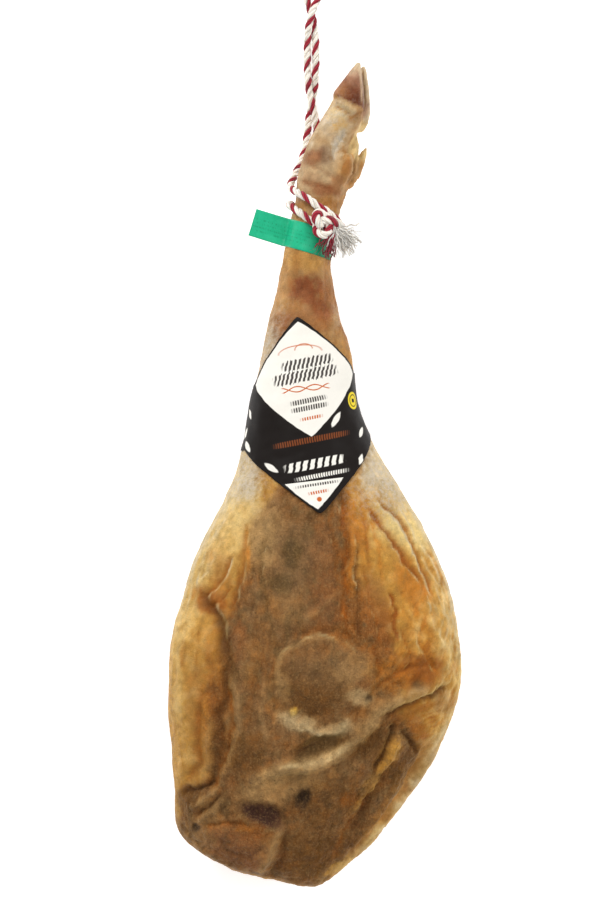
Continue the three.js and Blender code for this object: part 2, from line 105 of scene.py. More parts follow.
# The folds and ridges of the face and the foot, in millimetres: points, width, height, and the colour
# that lies along them with its strength. A height under zero is cut in.
LINES = (
    # The inner edge of the fat rim on the left, and the folds beside it.
    (
        ((-107, -120), (-92, -140), (-85, -172), (-86, -216), (-94, -240), (-94, -279), (-103, -310)),
        5.2, -4.2, "groove", 0.62,
    ),
    (((-112, -112), (-98, -130), (-90, -150), (-86, -178)), 4.4, -1.4, "groove", 0.55),
    (((-97, -150), (-93, -185), (-99, -206)), 6, 2, "amber_fat", 0.3),
    (((-108, -204), (-112, -234), (-112, -262), (-110, -282), (-124, -303)), 3.6, -2.6, "rust", 0.5),
    (((-99, -230), (-101, -262), (-100, -292)), 4.5, 2.6, "pale_lean", 0.4),
    (((-84, -205), (-80, -240), (-86, -275), (-98, -306)), 2.8, -2.4, "rust", 0.6),
    (((-76, -200), (-73, -236), (-80, -270), (-92, -300)), 4, 2.2, "pale_lean", 0.35),
    (((-67, -52), (-69, -95), (-77, -120), (-84, -145)), 3.6, -2.2, "rust", 0.5),
    (((-64, -52), (-64, -94)), 2.4, -0.8, "orange_fat", 0.75),
    (((-110, -118), (-98, -112), (-86, -96), (-80, -80)), 2.6, -2.2, "rust", 0.55),
    (((-104, -128), (-92, -122), (-80, -110)), 2.2, -1.8, "rust", 0.55),
    (((-112, -108), (-102, -98), (-94, -82)), 3, 1.4, "pale_fat", 0.3),
    (((-60, -150), (-58, -185), (-64, -220), (-62, -250)), 5, -1.8, "rust", 0.25),
    (((-48, -200), (-52, -232), (-44, -262)), 4, 2.2, "pale_lean", 0.35),
    # The middle muscles.
    (((22, -10), (29, -40), (31, -75), (29, -124), (33, -165)), 3, -2.6, "rust", 0.8),
    (((14, -26), (17, -52), (22, -80), (20, -112)), 2.2, -1.8, "rust", 0.5),
    (((40, -60), (40, -90), (42, -128), (44, -165)), 2.2, -1.8, "groove", 0.45),
    (((36, -20), (36, -70), (35, -120)), 4, 2.0, "orange_fat", 0.45),
    (((48, -92), (52, -118), (60, -140), (62, -165)), 2.2, -2.0, "rust", 0.5),
    (((0, -20), (-6, -60), (-2, -100)), 8, 2.0, "", 0),
    (((-26, -36), (-34, -80), (-30, -120)), 7, -1.6, "", 0),
    (((-46, -60), (-52, -100), (-44, -140), (-40, -172)), 3, -1.4, "shadow_lean", 0.3),
    (((20, -118), (4, -134), (-16, -142)), 3, 1.4, "pale_lean", 0.3),
    # The fat on the right.
    (((51, -30), (66, -52), (82, -75), (96, -97), (106, -108)), 3.2, -2.2, "rust", 0.95),
    (((60, -26), (76, -50), (91, -73), (104, -97)), 2.4, 1.6, "pale_fat", 0.6),
    (((64, -22), (84, -50), (99, -76), (110, -104), (113, -122)), 2.4, -1.8, "rust", 0.75),
    (((74, -112), (78, -134), (76, -148), (79, -162)), 2.4, -2.2, "rust", 0.95),
    (((62, -120), (66, -150), (70, -172)), 5, -2.0, "rust", 0.3),
    (((57, -163), (62, -188), (59, -205)), 2.4, -1.8, "rust", 0.5),
    (((119, -188), (90, -184), (64, -201), (54, -214)), 2.6, -2.2, "rust", 0.55),
    (((110, -176), (84, -170), (66, -186)), 2.6, 1.8, "orange_fat", 0.5),
    (((96, -150), (104, -172), (118, -196)), 2.4, -1.8, "orange_fat", 0.6),
    (((104, -124), (112, -150), (124, -172)), 3, 1.6, "pale_fat", 0.3),
    (((44, -24), (50, -60), (54, -96)), 2.2, -1.4, "rust", 0.4),
    (((54, -36), (62, -70), (66, -104)), 2.4, -1.0, "orange_fat", 0.5),
    (((82, -150), (90, -172), (88, -192)), 2.0, -1.4, "rust", 0.5),
    (((92, -130), (98, -150), (96, -176)), 2.2, 1.2, "pale_fat", 0.3),
    (((70, -200), (86, -206), (96, -214)), 2.0, -1.2, "rust", 0.45),
    # The ball of the bone with a painted highlight on its upper rim, the gristle, the hollow with painted
    # shade in it, and the ridge below it with painted highlights along it.
    # Painted highlight: pale lean along the upper left rim of the ball of the bone.
    (
        ((-36, -206), (-34, -186), (-26, -170), (-12, -160), (5, -157), (22, -160)),
        3.0, 1.8, "pale_lean", 0.5,
    ),
    (((-40, -186), (-35, -168), (-18, -155), (6, -151), (30, -158), (48, -175)), 5, -3.6, "", 0),
    (((-42, -196), (-44, -214), (-36, -232)), 4, -2.8, "pale_lean", 0.3),
    (((-30, -234), (-14, -241), (4, -252), (26, -247), (37, -236)), 3.6, 2.4, "gristle", 0.35),
    (((-26, -244), (-6, -250), (12, -254)), 2.2, 1.4, "gristle", 0.6),
    # The ridge below the hollow, raised, with a painted highlight of pale lean along it.
    (
        (
            (-60, -299), (-40, -288), (-22, -280), (-6, -281), (8, -279), (26, -268),
            (42, -253), (62, -228), (90, -213), (118, -204),
        ),
        7.0, 5.0, "pale_lean", 0.85,
    ),
    # Painted highlight: gristle colour along the crest of the ridge.
    (((-34, -281), (-14, -279), (6, -278), (24, -269), (38, -256)), 3.4, 1.2, "gristle", 0.5),
    # Painted shade in the upper part of the hollow.
    (((-14, -262), (-2, -257), (12, -256), (28, -249)), 2.6, -1.5, "shadow_lean", 0.6),
    (((-16, -268), (-6, -264), (2, -262)), 2.0, -1.0, "purple", 0.35),
    (((-40, -300), (-14, -295), (8, -290), (28, -281), (46, -265), (70, -243)), 7, -2.8, "", 0),
    (((64, -234), (92, -222), (116, -213), (129, -205)), 2.8, -4.4, "groove", 0.75),
    (((70, -240), (94, -230), (118, -222)), 5, -1.0, "rust", 0.5),
    # The deep folds at the lower right.
    (((78, -240), (73, -262), (58, -288)), 2.8, -5.4, "groove", 0.8),
    (((86, -248), (94, -260), (101, -272)), 2.8, -4.8, "groove", 0.8),
    (((80, -275), (64, -302), (50, -323), (36, -354)), 4.2, -3.6, "groove", 0.55),
    (((92, -282), (76, -309), (62, -330), (48, -358)), 4.0, 2.6, "amber_fat", 0.2),
    (((110, -262), (100, -290), (82, -316), (60, -344)), 3, -1.8, "rust", 0.4),
    # Painted rim light: pale fat along the lower right edge, where the face turns over.
    (
        (
            (127, -235), (115, -265), (104, -289), (87, -313),
            (70, -338), (55, -357), (36, -377), (10, -396),
        ),
        6, 0.6, "pale_fat", 0.55,
    ),
    (((40, -268), (46, -290), (36, -312)), 4, 1.6, "", 0),
    (((70, -286), (58, -304), (48, -316), (36, -330)), 2.4, 1.4, "amber_fat", 0.6),
    (((56, -306), (44, -330), (28, -350), (18, -378)), 3, -1.4, "rust", 0.45),
    (((120, -248), (108, -276), (90, -304), (72, -330), (54, -350), (34, -372)), 3, -1.6, "rust", 0.4),
    # Painted rim light: white along the lower right edge, with no relief.
    (((131, -232), (120, -262), (108, -290), (91, -314), (74, -338), (58, -358)), 3.5, 0, "bloom", 0.5),
    (((30, -322), (14, -334), (0, -352), (-6, -378)), 4, 1.4, "", 0),
    # The lower left, the hip and its cut.
    (((-92, -303), (-106, -316), (-120, -325)), 2.6, 3.0, "pale_lean", 0.45),
    (((-86, -312), (-98, -326), (-112, -338)), 2.6, 2.8, "pale_lean", 0.4),
    (((-98, -299), (-112, -307), (-127, -311)), 2.6, -3.4, "groove", 0.65),
    (((-90, -310), (-104, -323), (-118, -333)), 1.8, -2.4, "groove", 0.5),
    (((-34, -343), (-40, -362), (-53, -388)), 3.4, 4.2, "pale_lean", 0.6),
    (((-26, -348), (-32, -370), (-42, -394)), 4.2, -3.2, "groove", 0.4),
    (((-96, -352), (-80, -366), (-60, -370), (-48, -360)), 2.4, -1.4, "purple", 0.25),
    (((-76, -346), (-66, -347), (-56, -344)), 2.4, 1.2, "orange_fat", 0.45),
    (((-108, -342), (-84, -340), (-60, -345)), 2.8, -2.6, "rust", 0.5),
    (((-112, -360), (-90, -376), (-64, -384)), 3, 1.8, "pale_lean", 0.3),
    (((-66, -310), (-44, -316), (-24, -326)), 3, 1.6, "pale_lean", 0.15),
    # The foot: the coronet, the pastern's creases and the dewclaws' clefts.
    (((17, 367), (30, 361), (42, 356)), 1.5, -1.5, "", 0),
    (((18, 363), (30, 357), (41, 351)), 2.2, 1.4, "horn_pale", 0.3),
    (((18, 358), (29, 351), (38, 343)), 1.4, -1.2, "rust", 0.55),
    (((34, 340), (42, 346), (48, 352)), 2.4, -0.5, "rust", 0.5),
    (((28, 330), (22, 316), (16, 303)), 2.2, -2.4, "bloom", 0.85),
    (((22, 306), (28, 311), (34, 309), (37, 302), (36, 292)), 1.5, 0.9, "horn_pale", 0.65),
    (((39, 306), (38, 293), (34, 280)), 1.2, -2.0, "groove", 0.45),
    (((44, 314), (41, 301), (37, 291)), 1.2, -1.6, "groove", 0.35),
    (((10, 322), (14, 306), (16, 292)), 3.2, 1.4, "ankle", 0.3),
    (((-6, 300), (6, 292), (20, 284)), 2.4, -1.0, "shank_red", 0.2),
    (((-12, 286), (2, 279), (18, 275)), 2.4, -1.3, "shank_red", 0.5),
    # The shank's tendons.
    (((2, 240), (0, 190), (-4, 160)), 5, 1.4, "", 0),
    (((-14, 235), (-18, 190), (-26, 150)), 5, -1.2, "shank_red", 0.2),
    (((14, 230), (12, 190), (16, 150)), 4, -1.0, "shank_red", 0.2),
    (((52, -214), (55, -220)), 1.4, -1.0, "dark_spot", 0.5),
)
# The mounds and hollows of the face: middle, reach, turn in degrees, height and flatness.
MOUNDS = (
    ((-126, -215), (13, 80), 3, 3.5, 1.0),
    ((-114, -90), (20, 50), -24, 1.5, 1.0),
    ((-20, -90), (40, 62), 0, 3.0, 1.0),
    ((-65, -190), (20, 50), 0, -3.5, 1.0),
    ((6, -196), (40, 34), -14, 8.0, 1.7),
    ((50, -218), (4.5, 3.5), 0, -3.2, 1.0),
    ((42, -222), (10, 6), 20, 1.5, 1.0),
    ((-21, -228), (3.4, 4.2), 20, 2.4, 1.0),
    ((7, -267), (28, 11), 20, -8.0, 2.2),
    ((99, -205), (8, 7), 0, -3.0, 1.0),
    ((74, -272), (6.5, 18), -24, 5.0, 1.2),
    ((100, -288), (13, 25), -22, -3.2, 1.0),
    ((20, -330), (50, 30), 20, -2.0, 1.0),
    ((-11, -315), (7, 10), -10, -4.8, 1.5),
    ((-50, -331), (20, 10.5), -28, -3.6, 1.4),
    ((-72, -362), (36, 20), -12, 3.6, 1.6),
    ((-116, -344), (4, 4), 0, -2.0, 1.0),
    ((80, -160), (26, 30), 10, 3.0, 1.0),
    ((112, -160), (20, 44), 4, 2.4, 1.0),
    ((-52, -262), (20, 16), 0, 2.4, 1.0),
    ((28, 294), (8, 17), -21, 3.4, 1.6),
)

# Where the lean starts on the face: everything inside is meat, everything outside is fat.
LEAN_OUTLINE = (
    (-34, -14), (-56, -45), (-63, -85), (-74, -114), (-86, -140), (-87, -176), (-100, -200), (-110, -234),
    (-101, -266), (-102, -290), (-122, -314), (-140, -346), (-110, -385), (-56, -405), (2, -405),
    (31, -368), (57, -344), (86, -305), (100, -273), (97, -247), (77, -229), (84, -203), (74, -163),
    (58, -137), (45, -111), (36, -72), (30, -20), (20, 10),
)

# Colours laid over the face and the shank, in order: colour, middle, reach, turn, strength.
PATCHES = (
    ("pale_fat", (-88, -62), (24, 46), -24, 0.5),
    ("pale_fat", (-70, -30), (20, 22), 0, 0.6),
    ("bloom", (-70, -12), (16, 18), -35, 0.7),
    ("pale_fat", (88, -50), (30, 34), 30, 1.0),
    ("pale_fat", (122, -150), (12, 40), 6, 0.45),
    ("pale_fat", (-120, -120), (14, 44), -16, 0.4),
    ("bloom", (76, -2), (36, 30), 40, 0.85),
    ("amber_fat", (74, -96), (34, 34), 10, 0.75),
    ("orange_fat", (95, -106), (15, 22), 30, 0.75),
    ("orange_fat", (42, -52), (8, 34), 10, 0.45),
    ("rust", (60, -140), (16, 34), 8, 0.45),
    ("lean", (58, -126), (13, 32), 8, 0.5),
    ("rust", (98, -190), (24, 18), 10, 0.85),
    ("lean", (126, -222), (12, 12), 20, 0.45),
    ("dark_spot", (99, -205), (6.5, 5.5), 0, 0.6),
    ("orange_fat", (70, -196), (22, 20), 0, 0.5),
    ("orange_fat", (104, -150), (20, 26), 0, 0.35),
    ("amber_fat", (64, -28), (16, 18), 40, 0.5),
    ("amber_fat", (118, -136), (8, 24), 0, 0.45),
    ("pale_fat", (-132, -190), (7, 70), 3, 0.3),
    ("lean", (-112, -240), (9, 54), 3, 0.3),
    ("rust", (-100, -124), (17, 11), -25, 0.85),
    ("rust", (-90, -100), (10, 24), 15, 0.35),
    ("rust", (-94, -214), (12, 62), 0, 0.6),
    ("rust", (-103, -248), (7, 38), 0, 0.5),
    ("pale_lean", (-82, -228), (8, 48), 0, 0.35),
    ("amber_fat", (-104, -254), (7, 40), 2, 0.4),
    ("pale_lean", (-46, -56), (18, 30), 0, 0.55),
    ("rust", (38, -138), (20, 34), 0, 0.45),
    ("grey_lean", (-20, -82), (26, 36), 0, 0.75),
    ("shadow_lean", (-22, -76), (10, 16), -10, 0.7),
    ("shadow_lean", (-33, -106), (12, 10), 0, 0.55),
    ("pale_lean", (-50, -66), (12, 28), 0, 0.75),
    ("pale_lean", (-30, -130), (30, 18), 0, 0.25),
    ("red_lean", (8, -84), (14, 46), 0, 0.45),
    ("red_lean", (10, -134), (22, 18), 0, 0.35),
    ("rust", (30, -70), (5, 60), 0, 0.55),
    ("red_lean", (-74, -165), (10, 24), 0, 0.5),
    ("pale_lean", (-62, -180), (9, 22), 0, 0.3),
    ("grey_lean", (-66, -226), (16, 26), 0, 0.4),
    ("olive_lean", (2, -206), (34, 25), -14, 0.7),
    ("grey_lean", (6, -188), (32, 18), -14, 0.55),
    ("pale_lean", (36, -190), (18, 17), -30, 0.45),
    ("pale_lean", (-30, -206), (9, 16), 10, 0.5),
    ("red_lean", (46, -202), (9, 7), 0, 0.4),
    ("gristle", (43, -216), (14, 8), -10, 0.5),
    ("olive_lean", (-6, -223), (22, 9), 0, 0.5),
    ("yellow_spot", (-21, -228), (3.4, 4.2), 0, 0.95),
    ("gristle", (-16, -239), (20, 10), -20, 0.55),
    ("gristle", (18, -248), (24, 8), 15, 0.5),
    # Painted highlight: gristle colour along the crest of the ridge below the hollow.
    ("gristle", (-12, -283), (34, 6), 10, 0.35),
    # Painted shade in the hollow below the ball of the bone.
    ("shadow_lean", (4, -266), (24, 10), 18, 0.55),
    ("pale_lean", (-26, -300), (48, 17), 16, 0.65),
    ("pale_lean", (-46, -300), (20, 10), 20, 0.5),
    ("olive_lean", (-66, -268), (18, 22), 0, 0.6),
    ("olive_lean", (52, -258), (20, 16), 30, 0.8),
    ("amber_fat", (74, -272), (9, 22), -24, 0.95),
    ("amber_fat", (56, -302), (9, 20), -34, 0.4),
    ("orange_fat", (108, -276), (8, 20), -30, 0.35),
    ("olive_lean", (92, -288), (13, 28), -22, 0.95),
    ("rust", (100, -246), (8, 16), 30, 0.6),
    ("olive_lean", (14, -320), (40, 24), 10, 0.6),
    ("olive_lean", (10, -372), (52, 26), 0, 0.8),
    ("rust", (36, -316), (10, 7), 0, 0.5),
    ("olive_lean", (-122, -316), (13, 13), 0, 0.85),
    ("pale_lean", (-104, -322), (12, 10), -30, 0.45),
    ("pale_lean", (-104, -348), (22, 16), 0, 0.45),
    ("red_lean", (-70, -362), (36, 22), -12, 0.75),
    ("rust", (-54, -348), (20, 8), -26, 0.4),
    ("pale_lean", (-46, -366), (10, 16), -20, 0.35),
    ("dark_spot", (-11, -315), (7, 10.5), -10, 0.95),
    ("purple", (-50, -331), (20, 11), -28, 0.95),
    ("purple", (-62, -325), (9, 6), -10, 0.8),
    ("dark_spot", (-116, -344), (4, 3.5), 0, 0.75),
    ("dark_spot", (50, -217), (4, 3), 0, 0.3),
    ("amber_fat", (26, -384), (20, 8), 30, 0.8),
    ("shank_red", (-8, 178), (16, 14), 20, 1.0),
    ("shank_red", (14, 172), (20, 16), 20, 0.4),
    ("shank_red", (32, 146), (8, 22), 10, 0.45),
    ("shank_red", (6, 160), (14, 10), -30, 0.8),
    ("shank_red", (-34, 140), (12, 16), 0, 0.55),
    ("shank_red", (-6, 148), (26, 12), 0, 0.4),
    ("amber_fat", (-6, 208), (24, 14), 0, 0.45),
    ("amber_fat", (34, 112), (14, 24), 0, 0.35),
    ("bloom", (-48, 118), (14, 34), -14, 0.75),
    ("bloom", (-66, 18), (22, 38), -10, 0.75),
    ("bloom", (60, 20), (24, 40), 22, 0.75),
    ("bloom", (24, 152), (6, 12), 0, 0.3),
    ("ankle", (0, 292), (30, 32), 0, 0.95),
    ("shank_red", (11, 274), (14, 7), 0, 0.7),
    ("shank_red", (-2, 284), (10, 6), -30, 0.2),
    ("shank_red", (-4, 306), (12, 7), 40, 0.3),
    ("ankle", (22, 338), (22, 26), 0, 0.9),
    ("bloom", (16, 348), (20, 18), 0, 0.5),
    ("pale_fat", (26, 352), (12, 10), 0, 0.35),
    ("amber_fat", (24, 335), (8, 6), 30, 0.55),
    ("purple", (10, 308), (9, 9), 0, 0.4),
    ("shank_red", (-2, 306), (10, 7), 20, 0.45),
    ("bloom", (-8, 322), (5, 16), -24, 0.4),
    ("purple", (20, 322), (4, 5), 0, 0.25),
    ("rust", (8, 262), (22, 5), 0, 0.4),
    ("bloom", (22, 320), (5, 13), -22, 0.8),
    ("shank", (27, 292), (8, 15), -21, 0.8),
    ("rust", (30, 296), (4, 9), -21, 0.5),
    ("shank_red", (22, 284), (6, 6), 0, 0.4),
)

# The pale edge of the near claw, the cleft between the claws, and the far claw's heel.
HORN_LINES = (
    ("horn_pale", ((43, 398), (45.5, 380), (46, 358)), 1.3, 0.8),
    ("groove", ((46.4, 397), (48.6, 380), (49.8, 362), (47.6, 349)), 0.9, 0.9),
    ("horn", ((52, 362), (50, 352), (46, 346)), 2.6, 0.7),
)

# The near claw's horn starts where the place along plus this slope times the place across, both in
# millimetres, passes this line.
HORN_LINE = 376.0
HORN_SLOPE = 0.45

# A rope's strands, as shares of its diameter: how far their middles are off the rope's middle, and the
# radius of the red strand and of the two white ones.
STRAND_OFF = 0.250
RED_STRAND = 0.300
WHITE_STRAND = 0.272
STRAND_SIDES = 10

# The order of the rope's materials.
RED = 0
WHITE = 1

# What is scattered over the meat: flecks of dried fat, specks of dirt and dusty mould.
DRIED_FAT = (0.76, 0.60, 0.38)
DIRT = (0.25, 0.17, 0.10)
MOULD = (0.82, 0.77, 0.70)

# Painted shade on white cotton, laid in the grooves between its yarns.
COTTON_GAP_SHADE = (0.93, 0.87, 0.79)

# Painted shade on the tag's plastic towards its right end, under the knot, and the plastic in its moulded
# ticks.
TAG_PAINTED_SHADE = (0.06, 0.36, 0.20)
MOULDED_GREEN = (0.05, 0.42, 0.28)

# How soft the edge of a printed shape is.
PRINT_EDGE = 0.00035

# How finely the outline is drawn that the card and the tag lie on.
OUTLINE_STEP = 0.0008


def from_hex(code):
    return tuple(int(code[i : i + 2], 16) / 255 for i in (0, 2, 4))


def linear(colour):
    c = np.asarray(colour, float)
    return np.where(c <= 0.04045, c / 12.92, ((c + 0.055) / 1.055) ** 2.4)


def colour_prop(name, description, code):
    return bpy.props.FloatVectorProperty(
        name=name,
        description=description,
        subtype="COLOR_GAMMA",
        size=3,
        min=0,
        max=1,
        default=from_hex(code),
    )


def length_prop(name, description, default):
    return bpy.props.FloatProperty(
        name=name, description=description, default=default, min=0, unit="LENGTH", precision=4
    )


class HamColours(bpy.types.PropertyGroup):
    """The colours of the meat, the fat, the skin and the foot."""

    rim_fat: colour_prop("Rim fat", "The fat round the left of the face", "be8b3e")
    # Pale fat is also laid as a painted rim light along the face's edges.
    pale_fat: colour_prop("Pale fat", "The fat at the shoulders of the face", "e8ca84")
    amber_fat: colour_prop("Amber fat", "The fat on the right of the face", "c28c3a")
    orange_fat: colour_prop("Orange fat", "Fat that the cure has stained", "c07624")
    lean: colour_prop("Lean", "The dried meat", "8a5f34")
    grey_lean: colour_prop("Grey lean", "Meat under a thin grey bloom", "80603c")
    olive_lean: colour_prop("Olive lean", "The darkest meat", "6a441a")
    red_lean: colour_prop("Red lean", "Meat that shows red", "86542c")
    # Pale lean is also laid as painted highlights on the ball of the bone and on the ridge below the hollow.
    pale_lean: colour_prop("Pale lean", "Meat under dried fat", "b08a56")
    # Also laid as painted shade in the hollow below the ball of the bone.
    shadow_lean: colour_prop("Shadowed lean", "Dark blotches in the meat", "55401f")
    groove: colour_prop("Groove", "Dirt and cure in the folds", "5a3614")
    rust: colour_prop("Rust", "Red-brown stains", "945216")
    # Gristle is also laid as a painted highlight along the ridge below the hollow.
    gristle: colour_prop("Gristle", "Whitish gristle at the bone", "d4bc8c")
    yellow_spot: colour_prop("Yellow spot", "A bead of dried fat", "d4a03a")
    dark_spot: colour_prop("Dark spot", "The ends of veins", "3a2818")
    purple: colour_prop("Purple", "Dried blood at the hip", "44281c")
    # Bloom is also laid as a painted rim light along the face's edges.
    bloom: colour_prop("Bloom", "White mould on the skin", "cdbca0")
    skin: colour_prop("Skin", "The rind underneath", "aa763c")
    shank: colour_prop("Shank", "The skin of the shank", "b48854")
    shank_red: colour_prop("Red shank", "Red-brown stains on the shank", "824622")
    ankle: colour_prop("Ankle", "The skin of the foot", "bea078")
    horn: colour_prop("Horn", "The middle of the claws", "9c6e54")
    horn_dark: colour_prop("Dark horn", "The root of the claws", "70381c")
    horn_pale: colour_prop("Pale horn", "The tips and the inner claw", "d4bc98")
    nail: colour_prop("Dewclaw", "The dewclaws' nails", "e0c084")


class HamSizes(bpy.types.PropertyGroup):
    """How finely the ham is meshed and how deep its relief is."""

    mesh_step: length_prop("Mesh step", "The size of the ham mesh's faces", 0.00212)
    lumps: length_prop("Lumps", "How high the skin's broad lumps are", 0.0011)
    wrinkles: length_prop("Wrinkles", "How deep the meat's fine wrinkles are", 0.0013)
    relief: bpy.props.FloatProperty(
        name="Relief", description="How strong the folds of the face are", default=1.25, min=0
    )


class SleeveSettings(bpy.types.PropertyGroup):
    """The printed card sleeve."""

    place: bpy.props.FloatVectorProperty(
        name="Place", description="The sleeve's middle", size=2, default=(-0.0057, 0.0597), unit="LENGTH"
    )
    lean: bpy.props.FloatProperty(
        name="Lean", description="How far it leans to the left", default=math.radians(6.8), unit="ROTATION"
    )
    above: length_prop("Above", "From the middle to the upper point", 0.092)
    below: length_prop("Below", "From the middle to the lower point", 0.099)
    band_top: length_prop("Band top", "From the middle to the band's upper edge", 0.032)
    band_bottom: length_prop("Band bottom", "From the middle to the band's lower edge", 0.030)
    upper_half: length_prop("Upper half", "Half the width where the upper point starts", 0.062)
    lower_half: length_prop("Lower half", "Half the width where the lower point starts", 0.075)
    thickness: length_prop("Thickness", "The card's thickness", 0.0006)
    black: colour_prop("Black", "The printed ground", "17110e")
    white: colour_prop("White", "The printed fields", "f2eee4")
    orange: colour_prop("Orange", "The printed ornaments", "c8672f")
    grey: colour_prop("Grey", "The printed bars", "4a4441")
    yellow: colour_prop("Yellow", "The round seal", "eed42a")


class TagSettings(bpy.types.PropertyGroup):
    """The green tag band."""

    place: bpy.props.FloatVectorProperty(
        name="Place", description="The band's middle", size=2, default=(-0.003, 0.2268), unit="LENGTH"
    )
    lean: bpy.props.FloatProperty(
        name="Lean", description="How far it leans", default=math.radians(-17), unit="ROTATION"
    )
    width: length_prop("Width", "The band's width", 0.027)
    thickness: length_prop("Thickness", "The plastic's thickness", 0.0009)
    reach: length_prop("Reach", "From the middle to the tab's end", 0.060)
    height: length_prop("Height", "The tab's height over the surface", 0.058)
    green: colour_prop("Green", "The plastic", "08a474")
    light_green: colour_prop("Light green", "The plastic where light comes through", "2ec091")


class RopeSettings(bpy.types.PropertyGroup):
    """The three-strand rope."""

    diameter: length_prop("Diameter", "The rope's diameter", 0.0072)
    lay: length_prop("Lay", "How far a strand goes in one turn", 0.0215)
    length: length_prop("Length", "The free rope's length", 0.576)
    turns_along: length_prop("Turns along", "How far along the shank the turns start", 0.263)
    turns_pitch: length_prop("Turns pitch", "How far a turn moves along the shank", 0.016)
    turns_lean: length_prop("Turns lean", "How far the turns lean", 0.0145)
    white: colour_prop("White", "The two white strands", "fbf6ec")
    red: colour_prop("Red", "The red strand", "ac2a3a")


def settings():
    return bpy.context.scene.cured_ham


class HamSettings(bpy.types.PropertyGroup):
    """Everything that can be changed."""

    sizes: bpy.props.PointerProperty(type=HamSizes)
    colours: bpy.props.PointerProperty(type=HamColours)
    sleeve: bpy.props.PointerProperty(type=SleeveSettings)
    tag: bpy.props.PointerProperty(type=TagSettings)
    rope: bpy.props.PointerProperty(type=RopeSettings)


# Numbers on points.


def smooth_step(low, high, value):
    t = np.clip((value - low) / (high - low), 0, 1)
    return t * t * (3 - 2 * t)


def unit(vectors):
    vectors = np.asarray(vectors, float)
    return vectors / np.maximum(np.linalg.norm(vectors, axis=-1, keepdims=True), 1e-12)


def noise_field(points, size, seed, octaves=4, stretch=(1, 1, 1)):
    """Smooth noise from about -1 to 1 at each point, with lumps of the size given in metres."""
    scaled = points / (size * np.asarray(stretch, float)) + 31.7 * seed
    return np.array([noise.fractal(p, 1.0, 2.0, octaves) for p in scaled.tolist()])


def line_distance(x, y, points):
    """Each point's distance from a line of points, and how far along the line that is, from 0 to 1."""
    points = np.asarray(points, float)
    steps = np.diff(points, axis=0)
    lengths = np.hypot(*steps.T)
    before = np.concatenate([[0], np.cumsum(lengths)])
    best = np.full(x.shape, 1e9)
    along = np.zeros(x.shape)
    for (x0, y0), (dx, dy), length, start in zip(points, steps, lengths, before):
        t = np.clip(((x - x0) * dx + (y - y0) * dy) / length**2, 0, 1)
        distance = np.hypot(x - x0 - t * dx, y - y0 - t * dy)
        nearer = distance < best
        best = np.where(nearer, distance, best)
        along = np.where(nearer, (start + t * length) / before[-1], along)
    return best, along


def line_mask(x, y, points, width):
    distance, along = line_distance(x, y, points)
    ends = smooth_step(0, 0.12, along) * smooth_step(1, 0.88, along)
    return np.exp(-((distance / width) ** 2)) * (0.25 + 0.75 * ends)


def mound_mask(x, y, middle, reach, turn, flatness=1.0):
    angle = math.radians(turn)
    dx = x - middle[0]
    dy = y - middle[1]
    across = (dx * math.cos(angle) + dy * math.sin(angle)) / reach[0]
    along = (dy * math.cos(angle) - dx * math.sin(angle)) / reach[1]
    return np.exp(-((across**2 + along**2) ** flatness))


def region_mask(x, y, outline, soft):
    """One inside the outline, nought outside, with a soft edge."""
    points = np.asarray(outline, float)
    closed = np.vstack([points, points[:1]])
    distance, _ = line_distance(x, y, closed)
    inside = np.zeros(x.shape, bool)
    for (x0, y0), (x1, y1) in zip(closed[:-1], closed[1:]):
        crosses = (y0 > y) != (y1 > y)
        if y1 == y0:
            continue
        at = x0 + (y - y0) * (x1 - x0) / (y1 - y0)
        inside ^= crosses & (x < at)
    return smooth_step(-soft, soft, np.where(inside, distance, -distance))


def spread(values, edges, rounds):
    """Evens out a value over neighbouring vertices."""
    a, b = edges.T
    n = len(values)
    count = np.bincount(edges.ravel(), minlength=n)
    for _ in range(rounds):
        total = np.bincount(a, values[b], n) + np.bincount(b, values[a], n)
        values = 0.5 * values + 0.5 * total / count
    return values


def spread_points(points, edges, rounds, share=1.0):
    moved = np.column_stack([spread(points[:, i], edges, rounds) for i in range(3)])
    return points + (moved - points) * np.reshape(share, (-1, 1))


# Meshes.


def coordinates(mesh):
    values = np.empty(3 * len(mesh.vertices), np.float32)
    mesh.vertices.foreach_get("co", values)
    return values.reshape(-1, 3).astype(float)


def set_coordinates(mesh, points):
    mesh.vertices.foreach_set("co", np.asarray(points, np.float32).ravel())
    mesh.update()


def vertex_normals(mesh):
    values = np.empty(3 * len(mesh.vertices), np.float32)
    mesh.vertex_normals.foreach_get("vector", values)
    return values.reshape(-1, 3).astype(float)


def edge_pairs(mesh):
    values = np.empty(2 * len(mesh.edges), np.int32)
    mesh.edges.foreach_get("vertices", values)
    return values.reshape(-1, 2)


def add_attribute(mesh, name, kind, values):
    attribute = mesh.attributes.new(name, kind, "POINT")
    key = {"FLOAT": "value", "FLOAT_VECTOR": "vector", "FLOAT_COLOR": "color"}[kind]
    attribute.data.foreach_set(key, np.asarray(values, np.float32).ravel())


def new_piece(name, points, faces, materials, node, face_materials=None):
    """A smooth piece that stands for a CAD node and rides on the ham."""
    mesh = bpy.data.meshes.new(name)
    mesh.from_pydata([tuple(p) for p in points], [], faces)
    mesh.validate()
    mesh.update()
    piece = bpy.data.objects.new(name, mesh)
    bpy.context.scene.collection.objects.link(piece)
    for material in materials:
        mesh.materials.append(material)
    if face_materials is not None:
        mesh.polygons.foreach_set("material_index", np.asarray(face_materials, np.int32))
    mesh.polygons.foreach_set("use_smooth", np.ones(len(mesh.polygons), bool))
    attach(piece, node)
    return piece


def attach(piece, node):
    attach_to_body(piece, "root")
    if node:
        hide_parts(node)


